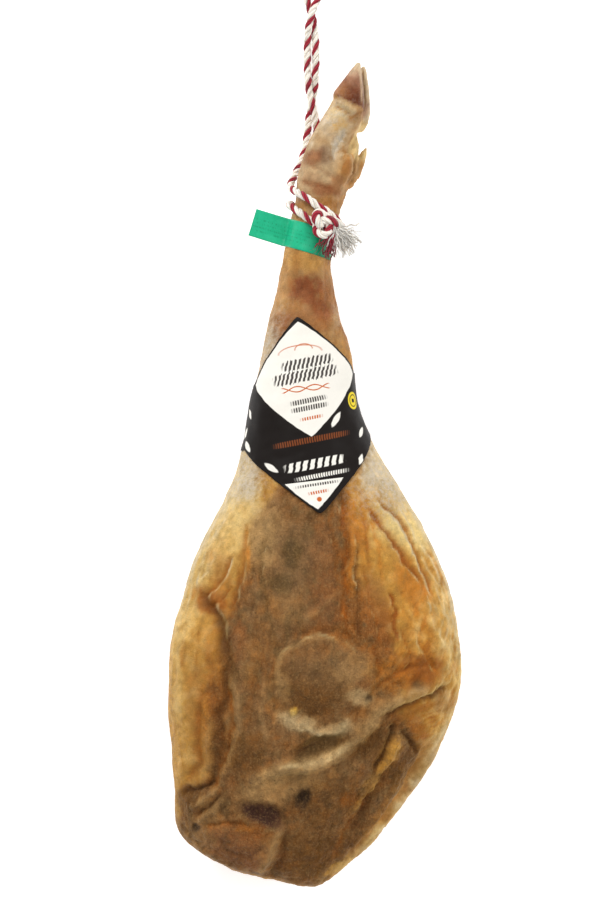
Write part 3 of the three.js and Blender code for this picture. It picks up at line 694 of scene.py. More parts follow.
def smooth_path(points, step):
    """A centripetal Catmull-Rom curve through the points, at even steps."""
    p = np.asarray(points, float)
    p = np.vstack([2 * p[0] - p[1], p, 2 * p[-1] - p[-2]])
    fine = []
    for p0, p1, p2, p3 in zip(p[:-3], p[1:-2], p[2:-1], p[3:]):
        t0 = 0.0
        t1 = t0 + math.sqrt(np.linalg.norm(p1 - p0))
        t2 = t1 + math.sqrt(np.linalg.norm(p2 - p1))
        t3 = t2 + math.sqrt(np.linalg.norm(p3 - p2))
        for t in np.linspace(t1, t2, 24, endpoint=False):
            a1 = (t1 - t) / (t1 - t0) * p0 + (t - t0) / (t1 - t0) * p1
            a2 = (t2 - t) / (t2 - t1) * p1 + (t - t1) / (t2 - t1) * p2
            a3 = (t3 - t) / (t3 - t2) * p2 + (t - t2) / (t3 - t2) * p3
            b1 = (t2 - t) / (t2 - t0) * a1 + (t - t0) / (t2 - t0) * a2
            b2 = (t3 - t) / (t3 - t1) * a2 + (t - t1) / (t3 - t1) * a3
            fine.append((t2 - t) / (t2 - t1) * b1 + (t - t1) / (t2 - t1) * b2)
    fine.append(p[-2])
    return even_steps(np.array(fine), step)


def distances(points):
    """How far along a line each of its points is."""
    return np.concatenate([[0], np.cumsum(np.linalg.norm(np.diff(points, axis=0), axis=1))])


def even_steps(points, step):
    lengths = distances(points)
    count = max(2, int(round(lengths[-1] / step)) + 1)
    at = np.linspace(0, lengths[-1], count)
    return np.column_stack([np.interp(at, lengths, points[:, i]) for i in range(points.shape[1])])


def path_frames(points):
    """Directions along a path, and two across it that turn as little as they can."""
    ahead = unit(np.gradient(points, axis=0))
    side = np.zeros_like(points)
    first = np.cross(ahead[0], (0, 0, 1))
    if np.linalg.norm(first) < 0.2:
        first = np.cross(ahead[0], (0, 1, 0))
    side[0] = unit(first)
    for i in range(1, len(points)):
        side[i] = unit(side[i - 1] - ahead[i] * np.dot(side[i - 1], ahead[i]))
    return ahead, side, np.cross(ahead, side)


def tube(points, radii, sides):
    """A closed tube's points, faces, and each point's place along it and angle round it."""
    _, side, up = path_frames(points)
    radii = np.broadcast_to(radii, len(points))
    angles = np.linspace(0, 2 * math.pi, sides, endpoint=False)
    ring = np.cos(angles)[None, :, None] * side[:, None] + np.sin(angles)[None, :, None] * up[:, None]
    verts = (points[:, None] + ring * radii[:, None, None]).reshape(-1, 3)
    faces = []
    for i in range(len(points) - 1):
        for j in range(sides):
            k = (j + 1) % sides
            faces.append((i * sides + j, i * sides + k, (i + 1) * sides + k, (i + 1) * sides + j))
    last = (len(points) - 1) * sides
    faces.append(tuple(range(sides - 1, -1, -1)))
    faces.append(tuple(last + j for j in range(sides)))
    steps = distances(points)
    along = np.repeat(steps, sides)
    around = np.tile(angles, len(points))
    return verts, faces, along, around


class MeshParts:
    """Tubes gathered into one mesh."""

    def __init__(self):
        self.points = []
        self.faces = []
        self.materials = []
        self.places = []
        self.count = 0

    def add(self, made, material, seed=0.0):
        verts, faces, along, around = made
        self.points.append(verts)
        self.faces += [tuple(v + self.count for v in face) for face in faces]
        self.materials += [material] * len(faces)
        self.places.append(np.column_stack([along, around, np.full(len(along), seed)]))
        self.count += len(verts)

    def piece(self, name, materials, node, slot):
        points = np.vstack(self.points)
        piece = new_piece(name, points, self.faces, materials, node, self.materials)
        add_attribute(piece.data, "yarn_place", "FLOAT_VECTOR", np.vstack(self.places))
        return piece


def add_rope(parts, path, diameter, lay, phase, seed=0.0):
    """Lays three strands round a path: the first is red and a little thicker, the others white."""
    _, side, up = path_frames(path)
    steps = distances(path)
    swell = 1 + 0.03 * np.sin(steps * 410 + seed) + 0.02 * np.sin(steps * 173 + 2 * seed)
    for strand in range(3):
        turn = phase + 2 * math.pi * (steps / lay + strand / 3)
        outwards = np.cos(turn)[:, None] * side + np.sin(turn)[:, None] * up
        middle = path + STRAND_OFF * diameter * outwards
        radii = (RED_STRAND if strand == 0 else WHITE_STRAND) * diameter * swell
        parts.add(tube(middle, radii, STRAND_SIDES), RED if strand == 0 else WHITE, strand + 3 * seed)


# The ham's surface, for what lies on it.


class HamSkin:
    """Finds the ham's surface round its shank."""

    def __init__(self):
        self.tree = BVHTree.FromObject(bpy.data.objects["ham_meat"], bpy.context.evaluated_depsgraph_get())

    def middle(self, x, y):
        """The middle of the shank near a place on it."""
        right = self.tree.ray_cast(Vector((0.4, y, 0.06)), Vector((-1, 0, 0)))[0]
        left = self.tree.ray_cast(Vector((-0.4, y, 0.06)), Vector((1, 0, 0)))[0]
        across = (right.x + left.x) / 2 if right and left else x
        top = self.tree.ray_cast(Vector((across, y, 0.4)), Vector((0, 0, -1)))[0]
        under = self.tree.ray_cast(Vector((across, y, -0.4)), Vector((0, 0, 1)))[0]
        height = (top.z + under.z) / 2 if top and under else 0.06
        return np.array((across, y, height))

    def section(self, place, lean, along, count=144):
        """A leaning section's outline as (across, up) points, taut over its hollows."""
        right = np.array((math.cos(lean), math.sin(lean), 0))
        origin = np.array((place[0] - math.sin(lean) * along, place[1] + math.cos(lean) * along, 0))
        centre = self.middle(origin[0], origin[1])
        offset = np.dot(centre - origin, right)
        start = origin + right * offset
        start[2] = centre[2]
        found = []
        for angle in np.linspace(0, 2 * math.pi, count, endpoint=False):
            outwards = right * math.cos(angle) + np.array((0, 0, math.sin(angle)))
            hit = self.tree.ray_cast(Vector(start + 0.3 * outwards), Vector(-outwards))[0]
            if hit:
                found.append((np.dot(np.array(hit) - origin, right), hit.z))
        return taut(np.array(found)), origin, right

    def round_shank(self, along, angle, off):
        """A point off the skin, at an angle round the shank from the right through the top."""
        centre = self.middle(0, along)
        outwards = Vector((math.cos(angle), 0, math.sin(angle)))
        hit, normal, _, _ = self.tree.ray_cast(Vector(centre) + 0.2 * outwards, -outwards)
        flat = Vector((normal.x, 0, normal.z)).normalized()
        return np.array(hit + off * flat)


def taut(points):
    """The convex outline round some flat points, from the right, anticlockwise."""
    order = sorted(set(map(tuple, points)))

    def half(items):
        kept = []
        for p in items:
            while len(kept) > 1:
                (x0, y0), (x1, y1) = kept[-2], kept[-1]
                if (x1 - x0) * (p[1] - y0) - (y1 - y0) * (p[0] - x0) > 0:
                    break
                kept.pop()
            kept.append(p)
        return kept[:-1]

    return np.array(half(order) + half(order[::-1]))


def wrap(outline, off):
    """An outline grown outwards, as points from its top middle round to the left and back to it,
    with each point's distance from there."""
    closed = even_steps(np.vstack([outline, outline[:1]]), OUTLINE_STEP)[:-1]
    for _ in range(6):
        closed = 0.5 * closed + 0.25 * (np.roll(closed, 1, 0) + np.roll(closed, -1, 0))
    ahead = unit(np.roll(closed, -1, 0) - np.roll(closed, 1, 0))
    grown = closed + off * np.column_stack([ahead[:, 1], -ahead[:, 0]])
    upper = np.where(grown[:, 1] > grown[:, 1].mean(), np.abs(grown[:, 0]), 9)
    grown = np.roll(grown, -int(np.argmin(upper)), 0)
    grown = np.vstack([grown, grown[:1]])
    far = distances(grown)
    return grown, far


# Materials.


class Nodes:
    """A short way to build a tree of nodes."""

    def __init__(self, tree):
        self.tree = tree

    def add(self, kind, inputs=None, **values):
        node = self.tree.nodes.new(kind)
        for key, value in values.items():
            setattr(node, key, value)
        for key, value in (inputs or {}).items():
            self.put(node.inputs[key], value)
        return node

    def put(self, socket, value):
        if isinstance(value, bpy.types.NodeSocket):
            self.tree.links.new(value, socket)
        else:
            socket.default_value = value

    def math(self, operation, a, b=0.0, c=0.0, clamp=False):
        node = self.add("ShaderNodeMath", operation=operation, use_clamp=clamp)
        for socket, value in zip(node.inputs, (a, b, c)):
            self.put(socket, value)
        return node.outputs[0]

    def ramp(self, value, low, high, to_low=0.0, to_high=1.0):
        node = self.add("ShaderNodeMapRange", clamp=True)
        for socket, item in zip(node.inputs, (value, low, high, to_low, to_high)):
            self.put(socket, item)
        return node.outputs[0]

    def mix(self, share, a, b, blend="MIX"):
        node = self.add("ShaderNodeMix", data_type="RGBA", blend_type=blend)
        self.put(node.inputs[0], share)
        self.put(node.inputs[6], a)
        self.put(node.inputs[7], b)
        return node.outputs[2]

    def noise(self, vector, scale, detail=3.0, roughness=0.55, distortion=0.0):
        node = self.add(
            "ShaderNodeTexNoise",
            {
                "Vector": vector,
                "Scale": scale,
                "Detail": detail,
                "Roughness": roughness,
                "Distortion": distortion,
            },
        )
        return node.outputs[0]

    def stretched(self, vector, scale):
        node = self.add("ShaderNodeVectorMath", operation="MULTIPLY")
        self.put(node.inputs[0], vector)
        self.put(node.inputs[1], scale)
        return node.outputs[0]

    def attribute(self, name, output):
        return self.add("ShaderNodeAttribute", attribute_name=name).outputs[output]

    def separate(self, vector):
        return self.add("ShaderNodeSeparateXYZ", {0: vector}).outputs

    def scaled(self, vector, share):
        node = self.add("ShaderNodeVectorMath", operation="SCALE")
        self.put(node.inputs[0], vector)
        self.put(node.inputs["Scale"], share)
        return node.outputs[0]

    def object_place(self):
        return self.add("ShaderNodeTexCoord").outputs["Object"]

    def bump(self, height, distance, strength):
        node = self.add("ShaderNodeBump", {"Height": height, "Distance": distance, "Strength": strength})
        return node.outputs[0]


def rgba(colour):
    return (*linear(colour), 1.0)


def new_material(name, shader):
    """A material with its Principled shader, and the nodes to feed it."""
    material = bpy.data.materials.new(name)
    material.use_nodes = True
    tree = material.node_tree
    tree.nodes.clear()
    nodes = Nodes(tree)
    principled = nodes.add("ShaderNodeBsdfPrincipled")
    for key, value in shader.items():
        principled.inputs[key].default_value = value
    output = nodes.add("ShaderNodeOutputMaterial")
    tree.links.new(principled.outputs[0], output.inputs[0])
    return material, nodes, principled


def new_group(name, inputs, outputs):
    """A new node group with named sockets, its nodes, and what goes into and comes out of it."""
    group = bpy.data.node_groups.new(name, "ShaderNodeTree")
    for kind, way in ((inputs, "INPUT"), (outputs, "OUTPUT")):
        for label, socket, *default in kind:
            made = group.interface.new_socket(name=label, in_out=way, socket_type=socket)
            if default:
                made.default_value = default[0]
    nodes = Nodes(group)
    return group, nodes, nodes.add("NodeGroupInput").outputs, nodes.add("NodeGroupOutput").inputs


def use_group(nodes, group, inputs):
    return nodes.add("ShaderNodeGroup", inputs, node_tree=group).outputs


def printed_shape():
    """Whether a place on the card is inside a shape: 1 makes a lozenge, 2 an oval, 6 a bar."""
    name = "Printed shape"
    if name in bpy.data.node_groups:
        return bpy.data.node_groups[name]
    f = "NodeSocketFloat"
    group, n, given, out = new_group(
        name,
        (
            ("Place", "NodeSocketVector"),
            ("Across", f),
            ("Up", f),
            ("Half Width", f, 0.01),
            ("Half Height", f, 0.01),
            ("Turn", f),
            ("Shape", f, 2.0),
        ),
        (("Mask", f),),
    )
    split = n.separate(given["Place"])
    dx = n.math("SUBTRACT", split[0], given["Across"])
    dy = n.math("SUBTRACT", split[1], given["Up"])
    cos = n.math("COSINE", given["Turn"])
    sin = n.math("SINE", given["Turn"])
    across = n.math("ADD", n.math("MULTIPLY", dx, cos), n.math("MULTIPLY", dy, sin))
    up = n.math("SUBTRACT", n.math("MULTIPLY", dy, cos), n.math("MULTIPLY", dx, sin))
    a = n.math("ABSOLUTE", n.math("DIVIDE", across, given["Half Width"]))
    b = n.math("ABSOLUTE", n.math("DIVIDE", up, given["Half Height"]))
    both = n.math("ADD", n.math("POWER", a, given["Shape"]), n.math("POWER", b, given["Shape"]))
    size = n.math("POWER", both, n.math("DIVIDE", 1.0, given["Shape"]))
    edge = n.math("DIVIDE", PRINT_EDGE, given["Half Height"])
    low = n.math("SUBTRACT", 1.0, edge)
    high = n.math("ADD", 1.0, edge)
    n.put(out["Mask"], n.ramp(size, low, high, 1.0, 0.0))
    return group


def surface_grain():
    """Mottled light and dark, fine grain, and a height for the bump, at sizes given by scale."""
    name = "Surface grain"
    if name in bpy.data.node_groups:
        return bpy.data.node_groups[name]
    f = "NodeSocketFloat"
    group, n, given, out = new_group(
        name,
        (("Vector", "NodeSocketVector"), ("Scale", f, 100.0), ("Contrast", f, 0.2)),
        (("Tone", f), ("Height", f)),
    )
    broad = n.noise(given["Vector"], given["Scale"], 5.0, 0.6, 0.3)
    fine = n.noise(given["Vector"], n.math("MULTIPLY", given["Scale"], 7.0), 4.0, 0.65)
    both = n.math("ADD", n.math("MULTIPLY", broad, 0.52), n.math("MULTIPLY", fine, 0.48))
    half = n.math("MULTIPLY", given["Contrast"], 2.0)
    tone = n.math("MULTIPLY_ADD", n.math("SUBTRACT", both, 0.5), half, 1.0)
    n.put(out["Tone"], tone)
    n.put(out["Height"], both)
    return group


def meat_material():
    """Dried meat, fat, skin and horn: the laid colours with mottling, flecks and fine wrinkles."""
    material, n, shader = new_material("ham_surface", {"IOR": 1.42, "Specular IOR Level": 0.22})
    place = n.object_place()
    meat = n.attribute("meat", "Fac")
    bloom = n.attribute("bloom_share", "Fac")
    horn = n.attribute("horn_share", "Fac")
    grain = use_group(n, surface_grain(), {"Vector": place, "Scale": 90.0, "Contrast": 1.05})

    def by_meat(on_fat, on_meat):
        return n.ramp(meat, 0.0, 1.0, on_fat, on_meat)

    tone = n.math("MULTIPLY_ADD", n.math("SUBTRACT", grain["Tone"], 1.0), by_meat(0.55, 1.0), 1.0)
    colour = n.scaled(n.attribute("laid_colour", "Color"), tone)
    rusty = n.ramp(n.noise(place, 42.0, 4.0, 0.6, 0.6), 0.52, 0.72, 0.0, 0.3)
    colour = n.mix(rusty, colour, n.mix(1.0, colour, (1.08, 0.80, 0.55, 1.0), "MULTIPLY"))
    flecks = n.ramp(n.noise(place, 430.0, 4.0, 0.7), 0.50, 0.78)
    colour = n.mix(n.math("MULTIPLY", flecks, by_meat(0.10, 0.36)), colour, rgba(DRIED_FAT))
    specks = n.ramp(n.noise(place, 380.0, 2.0, 0.5), 0.34, 0.26)
    colour = n.mix(n.math("MULTIPLY", specks, by_meat(0.10, 0.45)), colour, rgba(DIRT))
    dust = n.ramp(n.noise(place, 260.0, 5.0, 0.7), 0.46, 0.60)
    colour = n.mix(n.math("MULTIPLY", dust, bloom), colour, rgba(MOULD))
    n.put(shader.inputs["Base Color"], colour)
    rough = n.ramp(grain["Height"], 0.3, 0.7, 0.42, 0.62)
    rough = n.math("ADD", rough, n.math("MULTIPLY", bloom, 0.25))
    rough = n.math("SUBTRACT", rough, n.math("MULTIPLY", horn, 0.12), clamp=True)
    n.put(shader.inputs["Roughness"], rough)
    fibres = n.noise(n.stretched(place, (1.0, 0.28, 1.0)), 330.0, 4.0, 0.6, 0.4)
    height = n.math("MULTIPLY", fibres, by_meat(0.35, 1.0))
    height = n.math("ADD", height, n.math("MULTIPLY", grain["Height"], 0.8))
    pores = n.noise(place, 900.0, 2.0, 0.6)
    height = n.math("ADD", height, n.math("MULTIPLY", pores, 0.25))
    n.put(shader.inputs["Normal"], n.bump(height, 0.0028, 1.0))
    return material


def yarn_material(name, colour, gap_shade, soft):
    """Twisted cotton: fine yarns that run round the strand, with painted shade in the grooves between them,
    fluff and wear.
    """
    cotton = {
        "Roughness": 0.92,
        "Specular IOR Level": 0.2,
        "Sheen Weight": 0.2,
        "Subsurface Weight": soft,
        "Subsurface Scale": 0.002,
        "Subsurface Radius": (1.0, 1.0, 1.0),
    }
    material, n, shader = new_material(name, cotton)
    along, around, _ = n.separate(n.attribute("yarn_place", "Vector"))
    twist = n.math("ADD", n.math("MULTIPLY", around, 5.0), n.math("MULTIPLY", along, -900.0))
    wave = n.math("MULTIPLY_ADD", n.math("SINE", twist), 0.5, 0.5)
    place = n.object_place()
    grain = use_group(n, surface_grain(), {"Vector": place, "Scale": 260.0, "Contrast": 0.35})
    # Painted shade: the colour turns to the shade colour where the twist is low, in the grooves between the
    # yarns.
    shade = n.math("MULTIPLY", n.ramp(wave, 0.0, 0.55), grain["Tone"], clamp=True)
    n.put(shader.inputs["Base Color"], n.mix(shade, rgba(gap_shade), rgba(colour)))
    height = n.math("ADD", wave, n.math("MULTIPLY", grain["Height"], 0.6))
    n.put(shader.inputs["Normal"], n.bump(height, 0.0005, 0.8))
    return material


def rope_materials():
    made = [bpy.data.materials.get("red_yarn"), bpy.data.materials.get("white_yarn")]
    if None in made:
        rope = settings().rope
        red = tuple(rope.red)
        white = tuple(rope.white)
        made = [
            # The red yarn's painted shade between its yarns is its own red, darkened.
            yarn_material("red_yarn", red, tuple(0.62 * c for c in red), 0.0),
            yarn_material("white_yarn", white, COTTON_GAP_SHADE, 0.6),
        ]
    return made


class CardPrint:
    """The print on the card, laid shape by shape. Places and sizes are millimetres from its middle."""

    LOZENGE = 1.1
    TRIANGLE = 1.08
    LEAF = 1.5
    OVAL = 2.0
    BAR = 6.0

    def __init__(self, nodes, ground):
        self.nodes = nodes
        self.place = nodes.attribute("card_place", "Vector")
        self.across, self.up, _ = nodes.separate(self.place)
        self.slant = nodes.math("ADD", self.across, nodes.math("MULTIPLY", self.up, -0.35))
        self.uneven = self.noise_across(210.0)
        self.colour = ground

    def noise_across(self, scale):
        return self.nodes.noise(self.nodes.stretched(self.place, (1.0, 0.0, 1.0)), scale, 1.0)

    def lay(self, mask, ink):
        self.colour = self.nodes.mix(mask, self.colour, ink)

    def mask(self, across, up, half_width, half_height, turn=0.0, kind=OVAL, taller=None):
        """Where a shape is. Its height may be multiplied by a value that differs from place to place."""
        height = half_height * MM
        given = {
            "Place": self.place,
            "Across": across * MM,
            "Up": up * MM,
            "Half Width": half_width * MM,
            "Half Height": height if taller is None else self.nodes.math("MULTIPLY", taller, height),
            "Turn": math.radians(turn),
            "Shape": kind,
        }
        return use_group(self.nodes, printed_shape(), given)["Mask"]

    def both(self, a, b):
        return self.nodes.math("MULTIPLY", a, b)

    def less(self, a, b):
        return self.nodes.math("SUBTRACT", a, b, clamp=True)

    def strokes(self, along, closeness, unevenness, low, high):
        """Strokes of uneven width across a row."""
        wave = self.nodes.math("SINE", self.nodes.math("MULTIPLY", along, closeness))
        return self.nodes.ramp(self.nodes.math("MULTIPLY_ADD", self.uneven, unevenness, wave), low, high)

    def fields(self, white):
        """The lozenge above and the triangle at the lower point."""
        self.lay(self.mask(0, 31.5, 57, 56, 0, self.LOZENGE), white)
        below = self.nodes.math("LESS_THAN", self.up, -67.3 * MM)
        self.lay(self.both(self.mask(-2.5, -67.3, 28.5, 27.5, 0, self.TRIANGLE), below), white)

    def words(self, white, orange, brown, grey):
        """Rows of plain strokes where words would be."""
        drawn = self.strokes(self.slant, 1500.0, 1.6, 0.55, 0.75)
        tall = self.nodes.math("MULTIPLY_ADD", self.noise_across(330.0), 1.5, 0.25)
        for row in ((4, 47, 25, 5.0, 5), (1, 35, 32, 5.6, 5)):
            self.lay(self.both(self.mask(*row, self.BAR, tall), drawn), grey)
        fine = self.strokes(self.across, 2600.0, 1.2, 0.1, 0.3)
        for *row, ink in (
            (1, 10.5, 17, 2.4, 5, grey),
            (1, 3.5, 17, 2.4, 5, grey),
            (2, -6.5, 10, 1.6, 5, orange),
            (0, -27.5, 36, 2.8, 4, brown),
            (0, -71, 19, 1.3, 2, grey),
            (0, -78.5, 9, 1.5, 4, orange),
            (6, -62.5, 24, 2.0, 4, white),
        ):
            self.lay(self.both(self.mask(*row, self.BAR), fine), ink)
        broad = self.strokes(self.slant, 900.0, 1.4, 0.3, 0.5)
        self.lay(self.both(self.mask(0, -51, 29, 4.6, 4, self.BAR), broad), white)

    def ornaments(self, orange):
        """Two arcs over the words, and two waves that cross under them."""
        rim = 0.9
        for across, up, half_width, half_height in ((-2, 57, 22, 8), (2, 60, 9, 6)):
            outer = self.mask(across, up, half_width, half_height)
            inner = self.mask(across, up, half_width - rim, half_height - rim)
            upper = self.nodes.math("GREATER_THAN", self.up, up * MM)
            self.lay(self.both(self.less(outer, inner), upper), orange)
        for start in (0.0, math.pi):
            wave = self.nodes.math("SINE", self.nodes.math("MULTIPLY_ADD", self.across, 190.0, start))
            height = self.nodes.math("MULTIPLY_ADD", wave, 2.6 * MM, 22.5 * MM)
            off = self.nodes.math("ABSOLUTE", self.nodes.math("SUBTRACT", self.up, height))
            near = self.nodes.math("LESS_THAN", off, 0.6 * MM)
            self.lay(self.both(near, self.mask(0, 22.5, 25, 6)), orange)

    def leaves(self, white):
        for leaf in (
            (26, -11, 8.5, 3.0, 52),
            (55, -26, 6.0, 2.8, 50),
            (-43, -50, 8.0, 3.0, -38),
            (47, -52, 5.5, 2.4, 60),
            (-68, 4, 5.5, 2.6, -60),
            (-76, -14, 6.0, 2.6, 55),
            (-70, -27, 6.5, 3.0, -55),
            (84, 8, 6.0, 2.6, 55),
            (-98, 0, 6.0, 2.6, 40),
            (104, -16, 6.0, 2.6, -50),
        ):
            self.lay(self.mask(*leaf, self.LEAF), white)

    def seals(self, yellow, black, orange):
        """A round seal with a ring and a lozenge in it, and a dot in the lower point."""
        self.lay(self.mask(50, 5.5, 7.5, 8.5), yellow)
        self.lay(self.less(self.mask(50, 5.5, 5.4, 6.2), self.mask(50, 5.5, 4.4, 5.2)), black)
        self.lay(self.mask(50, 5.5, 2.4, 2.8, 45, 1.0), black)
        self.lay(self.mask(0, -85.5, 2.4, 2.4), orange)


def card_material():
    """Printed card: a black ground with white fields, strokes in place of words, and ornaments."""
    card = settings().sleeve
    material, n, shader = new_material("printed_card", {"IOR": 1.45, "Specular IOR Level": 0.18})
    black, white, orange, grey, yellow = (
        rgba(c) for c in (card.black, card.white, card.orange, card.grey, card.yellow)
    )
    brown = rgba(tuple(0.62 * c for c in card.orange))
    inked = CardPrint(n, black)
    inked.fields(white)
    inked.words(white, orange, brown, grey)
    inked.ornaments(orange)
    inked.leaves(white)
    inked.seals(yellow, black, orange)
    grain = use_group(n, surface_grain(), {"Vector": n.object_place(), "Scale": 300.0, "Contrast": 0.07})
    n.put(shader.inputs["Base Color"], n.scaled(inked.colour, grain["Tone"]))
    n.put(shader.inputs["Roughness"], n.ramp(grain["Height"], 0.3, 0.7, 0.42, 0.56))
    n.put(shader.inputs["Normal"], n.bump(grain["Height"], 0.0002, 0.35))
    return material


def tag_material():
    """Thin green plastic with painted shade towards its right end under the knot, faint moulded ticks and
    scuffs.
    """
    tag = settings().tag
    material, n, shader = new_material("green_plastic", {"IOR": 1.47, "Specular IOR Level": 0.25})
    place = n.attribute("tag_place", "Vector")
    up = n.separate(place)[1]
    space = n.object_place()
    grain = use_group(n, surface_grain(), {"Vector": space, "Scale": 120.0, "Contrast": 0.25})
    colour = n.mix(n.ramp(grain["Tone"], 0.86, 1.14), rgba(tag.green), rgba(tag.light_green))
    # Painted shade: the green darkens towards the tag's right end, under the knot, streaked by the grain.
    shade = n.math("ADD", n.separate(space)[0], n.math("MULTIPLY", grain["Height"], 0.012))
    colour = n.mix(n.ramp(shade, -0.006, 0.018, 0.0, 0.75), colour, rgba(TAG_PAINTED_SHADE))
    rows = n.math("GREATER_THAN", n.math("SINE", n.math("MULTIPLY", up, 1700.0)), 0.45)
    ticks = n.ramp(n.noise(n.stretched(place, (1.0, 0.12, 0.0)), 900.0, 1.0), 0.52, 0.56)
    inside = n.math("LESS_THAN", n.math("ABSOLUTE", up), 0.0075)
    moulded = n.math("MULTIPLY", n.math("MULTIPLY", rows, ticks), inside)
    colour = n.mix(n.math("MULTIPLY", moulded, 0.4), colour, rgba(MOULDED_GREEN))
    n.put(shader.inputs["Base Color"], colour)
    n.put(shader.inputs["Roughness"], n.ramp(grain["Height"], 0.35, 0.65, 0.28, 0.42))
    height = n.math("ADD", n.math("MULTIPLY", moulded, 0.6), n.math("MULTIPLY", grain["Height"], 0.5))
    n.put(shader.inputs["Normal"], n.bump(height, 0.0003, 0.6))
    return material


# Pieces.


class MakeStage(bpy.types.Operator):
    """Set up the camera, the pale floor and the soft lights"""

    bl_idname = "cured_ham.make_stage"
    bl_label = "Stage"

    CAMERA_HEIGHT = 5.0
    CAMERA_OFF = (-0.0138, 0.0224)
    # How much of the ham's length the picture is high.
    PICTURE_SHARE = 1.0949
    SKY_STRENGTH = 0.50
    FLOOR_REACH = 20.0
    FLOOR_GLOW = 0.6

    def execute(self, context):
        scene = context.scene
        self.add_camera(scene)
        self.add_floor(scene)
        self.add_light(scene, "key_light", (-1.1, 1.9, 1.8), 1.1, 45)
        self.add_light(scene, "fill_light", (1.7, 0.1, 2.0), 1.8, 22)
        world = bpy.data.worlds.new("studio")
        world.use_nodes = True
        sky = world.node_tree.nodes["Background"]
        sky.inputs["Color"].default_value = (1.0, 1.0, 1.0, 1.0)
        sky.inputs["Strength"].default_value = self.SKY_STRENGTH
        scene.world = world
        scene.view_settings.view_transform = "Standard"
        return {"FINISHED"}

    def add_camera(self, scene):
        low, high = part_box("ham")
        middle = (low + high) / 2
        data = bpy.data.cameras.new("camera")
        data.lens = data.sensor_width * self.CAMERA_HEIGHT / (self.PICTURE_SHARE * (high.y - low.y))
        data.clip_end = 50
        camera = bpy.data.objects.new("camera", data)
        across, along = self.CAMERA_OFF
        camera.location = (middle.x + across, middle.y + along, middle.z + self.CAMERA_HEIGHT)
        scene.collection.objects.link(camera)
        scene.camera = camera

    def add_floor(self, scene):
        mesh = bpy.data.meshes.new("floor")
        signs = ((-1, -1), (1, -1), (1, 1), (-1, 1))
        corners = [(i * self.FLOOR_REACH, j * self.FLOOR_REACH, 0) for i, j in signs]
        mesh.from_pydata(corners, [], [(0, 1, 2, 3)])
        shown = {
            "Roughness": 0.9,
            "Specular IOR Level": 0.1,
            "Emission Color": (1.0, 1.0, 1.0, 1.0),
            "Emission Strength": self.FLOOR_GLOW,
        }
        material, n, shader = new_material("floor", shown)
        tone = n.ramp(n.noise(n.object_place(), 3.0, 2.0), 0.3, 0.7)
        n.put(shader.inputs["Base Color"], n.mix(tone, (0.90, 0.90, 0.90, 1.0), (0.93, 0.93, 0.93, 1.0)))
        mesh.materials.append(material)
        floor = bpy.data.objects.new("floor", mesh)
        scene.collection.objects.link(floor)

    def add_light(self, scene, name, place, size, power):
        data = bpy.data.lights.new(name, "AREA")
        data.shape = "DISK"
        data.size = size
        data.energy = power
        light = bpy.data.objects.new(name, data)
        light.location = place
        towards = Vector((0, 0, 0.05)) - Vector(place)
        light.rotation_euler = towards.to_track_quat("-Z", "Y").to_euler()
        scene.collection.objects.link(light)


class MakeHangingRope(bpy.types.Operator):
    """Lay the free rope from the turns to its bight and back"""

    bl_idname = "cured_ham.make_hanging_rope"
    bl_label = "Hanging rope"

    STEP = 0.0013

    def execute(self, context):
        rope = settings().rope
        path = smooth_path(HANGING_ROUTE, self.STEP)
        parts = MeshParts()
        add_rope(parts, path, rope.diameter, rope.lay, phase=0.6)
        piece = parts.piece("hanging_rope_strands", rope_materials(), "hanging_rope", "cotton_rope")
        return {"FINISHED"}


class Places:
    """Where each point of the ham lies and what it is made of, before its face is sculpted."""

    def __init__(self, points, normals):
        # In millimetres, moved about a little so that no edge is drawn straight.
        self.x, self.y = (
            1000 * points[:, axis]
            + 3.2 * noise_field(points, 0.022, 1 + 2 * axis)
            + 1.2 * noise_field(points, 0.006, 2 + 2 * axis)
            for axis in (0, 1)
        )
        self.meat = region_mask(self.x, self.y, LEAN_OUTLINE, 5) * smooth_step(0.05, 0.4, normals[:, 2])
        self.fat = 1 - self.meat
        self.flow = self.sheared(points)
        wrinkles = noise_field(self.flow, 0.011, 6, 4, (1, 2.6, 1))
        self.valleys = np.clip(1 - np.abs(wrinkles) * 2.4, 0, 1) ** 2

    def sheared(self, points):
        """Places sheared so that long noise runs down and outwards on the right, as the folds do."""
        shear = 0.55 * smooth_step(0.015, 0.075, points[:, 0]) * smooth_step(-0.24, -0.10, points[:, 1])
        shear -= 0.45 * smooth_step(0.03, 0.08, points[:, 0]) * smooth_step(-0.22, -0.27, points[:, 1])
        flow = points.copy()
        flow[:, 0] += shear * points[:, 1]
        return flow

    def wrinkled(self):
        """How wrinkled each place is: the left rim is nearly smooth, the meat the roughest."""
        fat = 0.12 + 0.38 * smooth_step(-90, 0, self.x)
        return fat + (1 - fat) * self.meat

    def mound(self, middle, reach, turn, flatness=1.0):
        return mound_mask(self.x, self.y, middle, reach, turn, flatness)


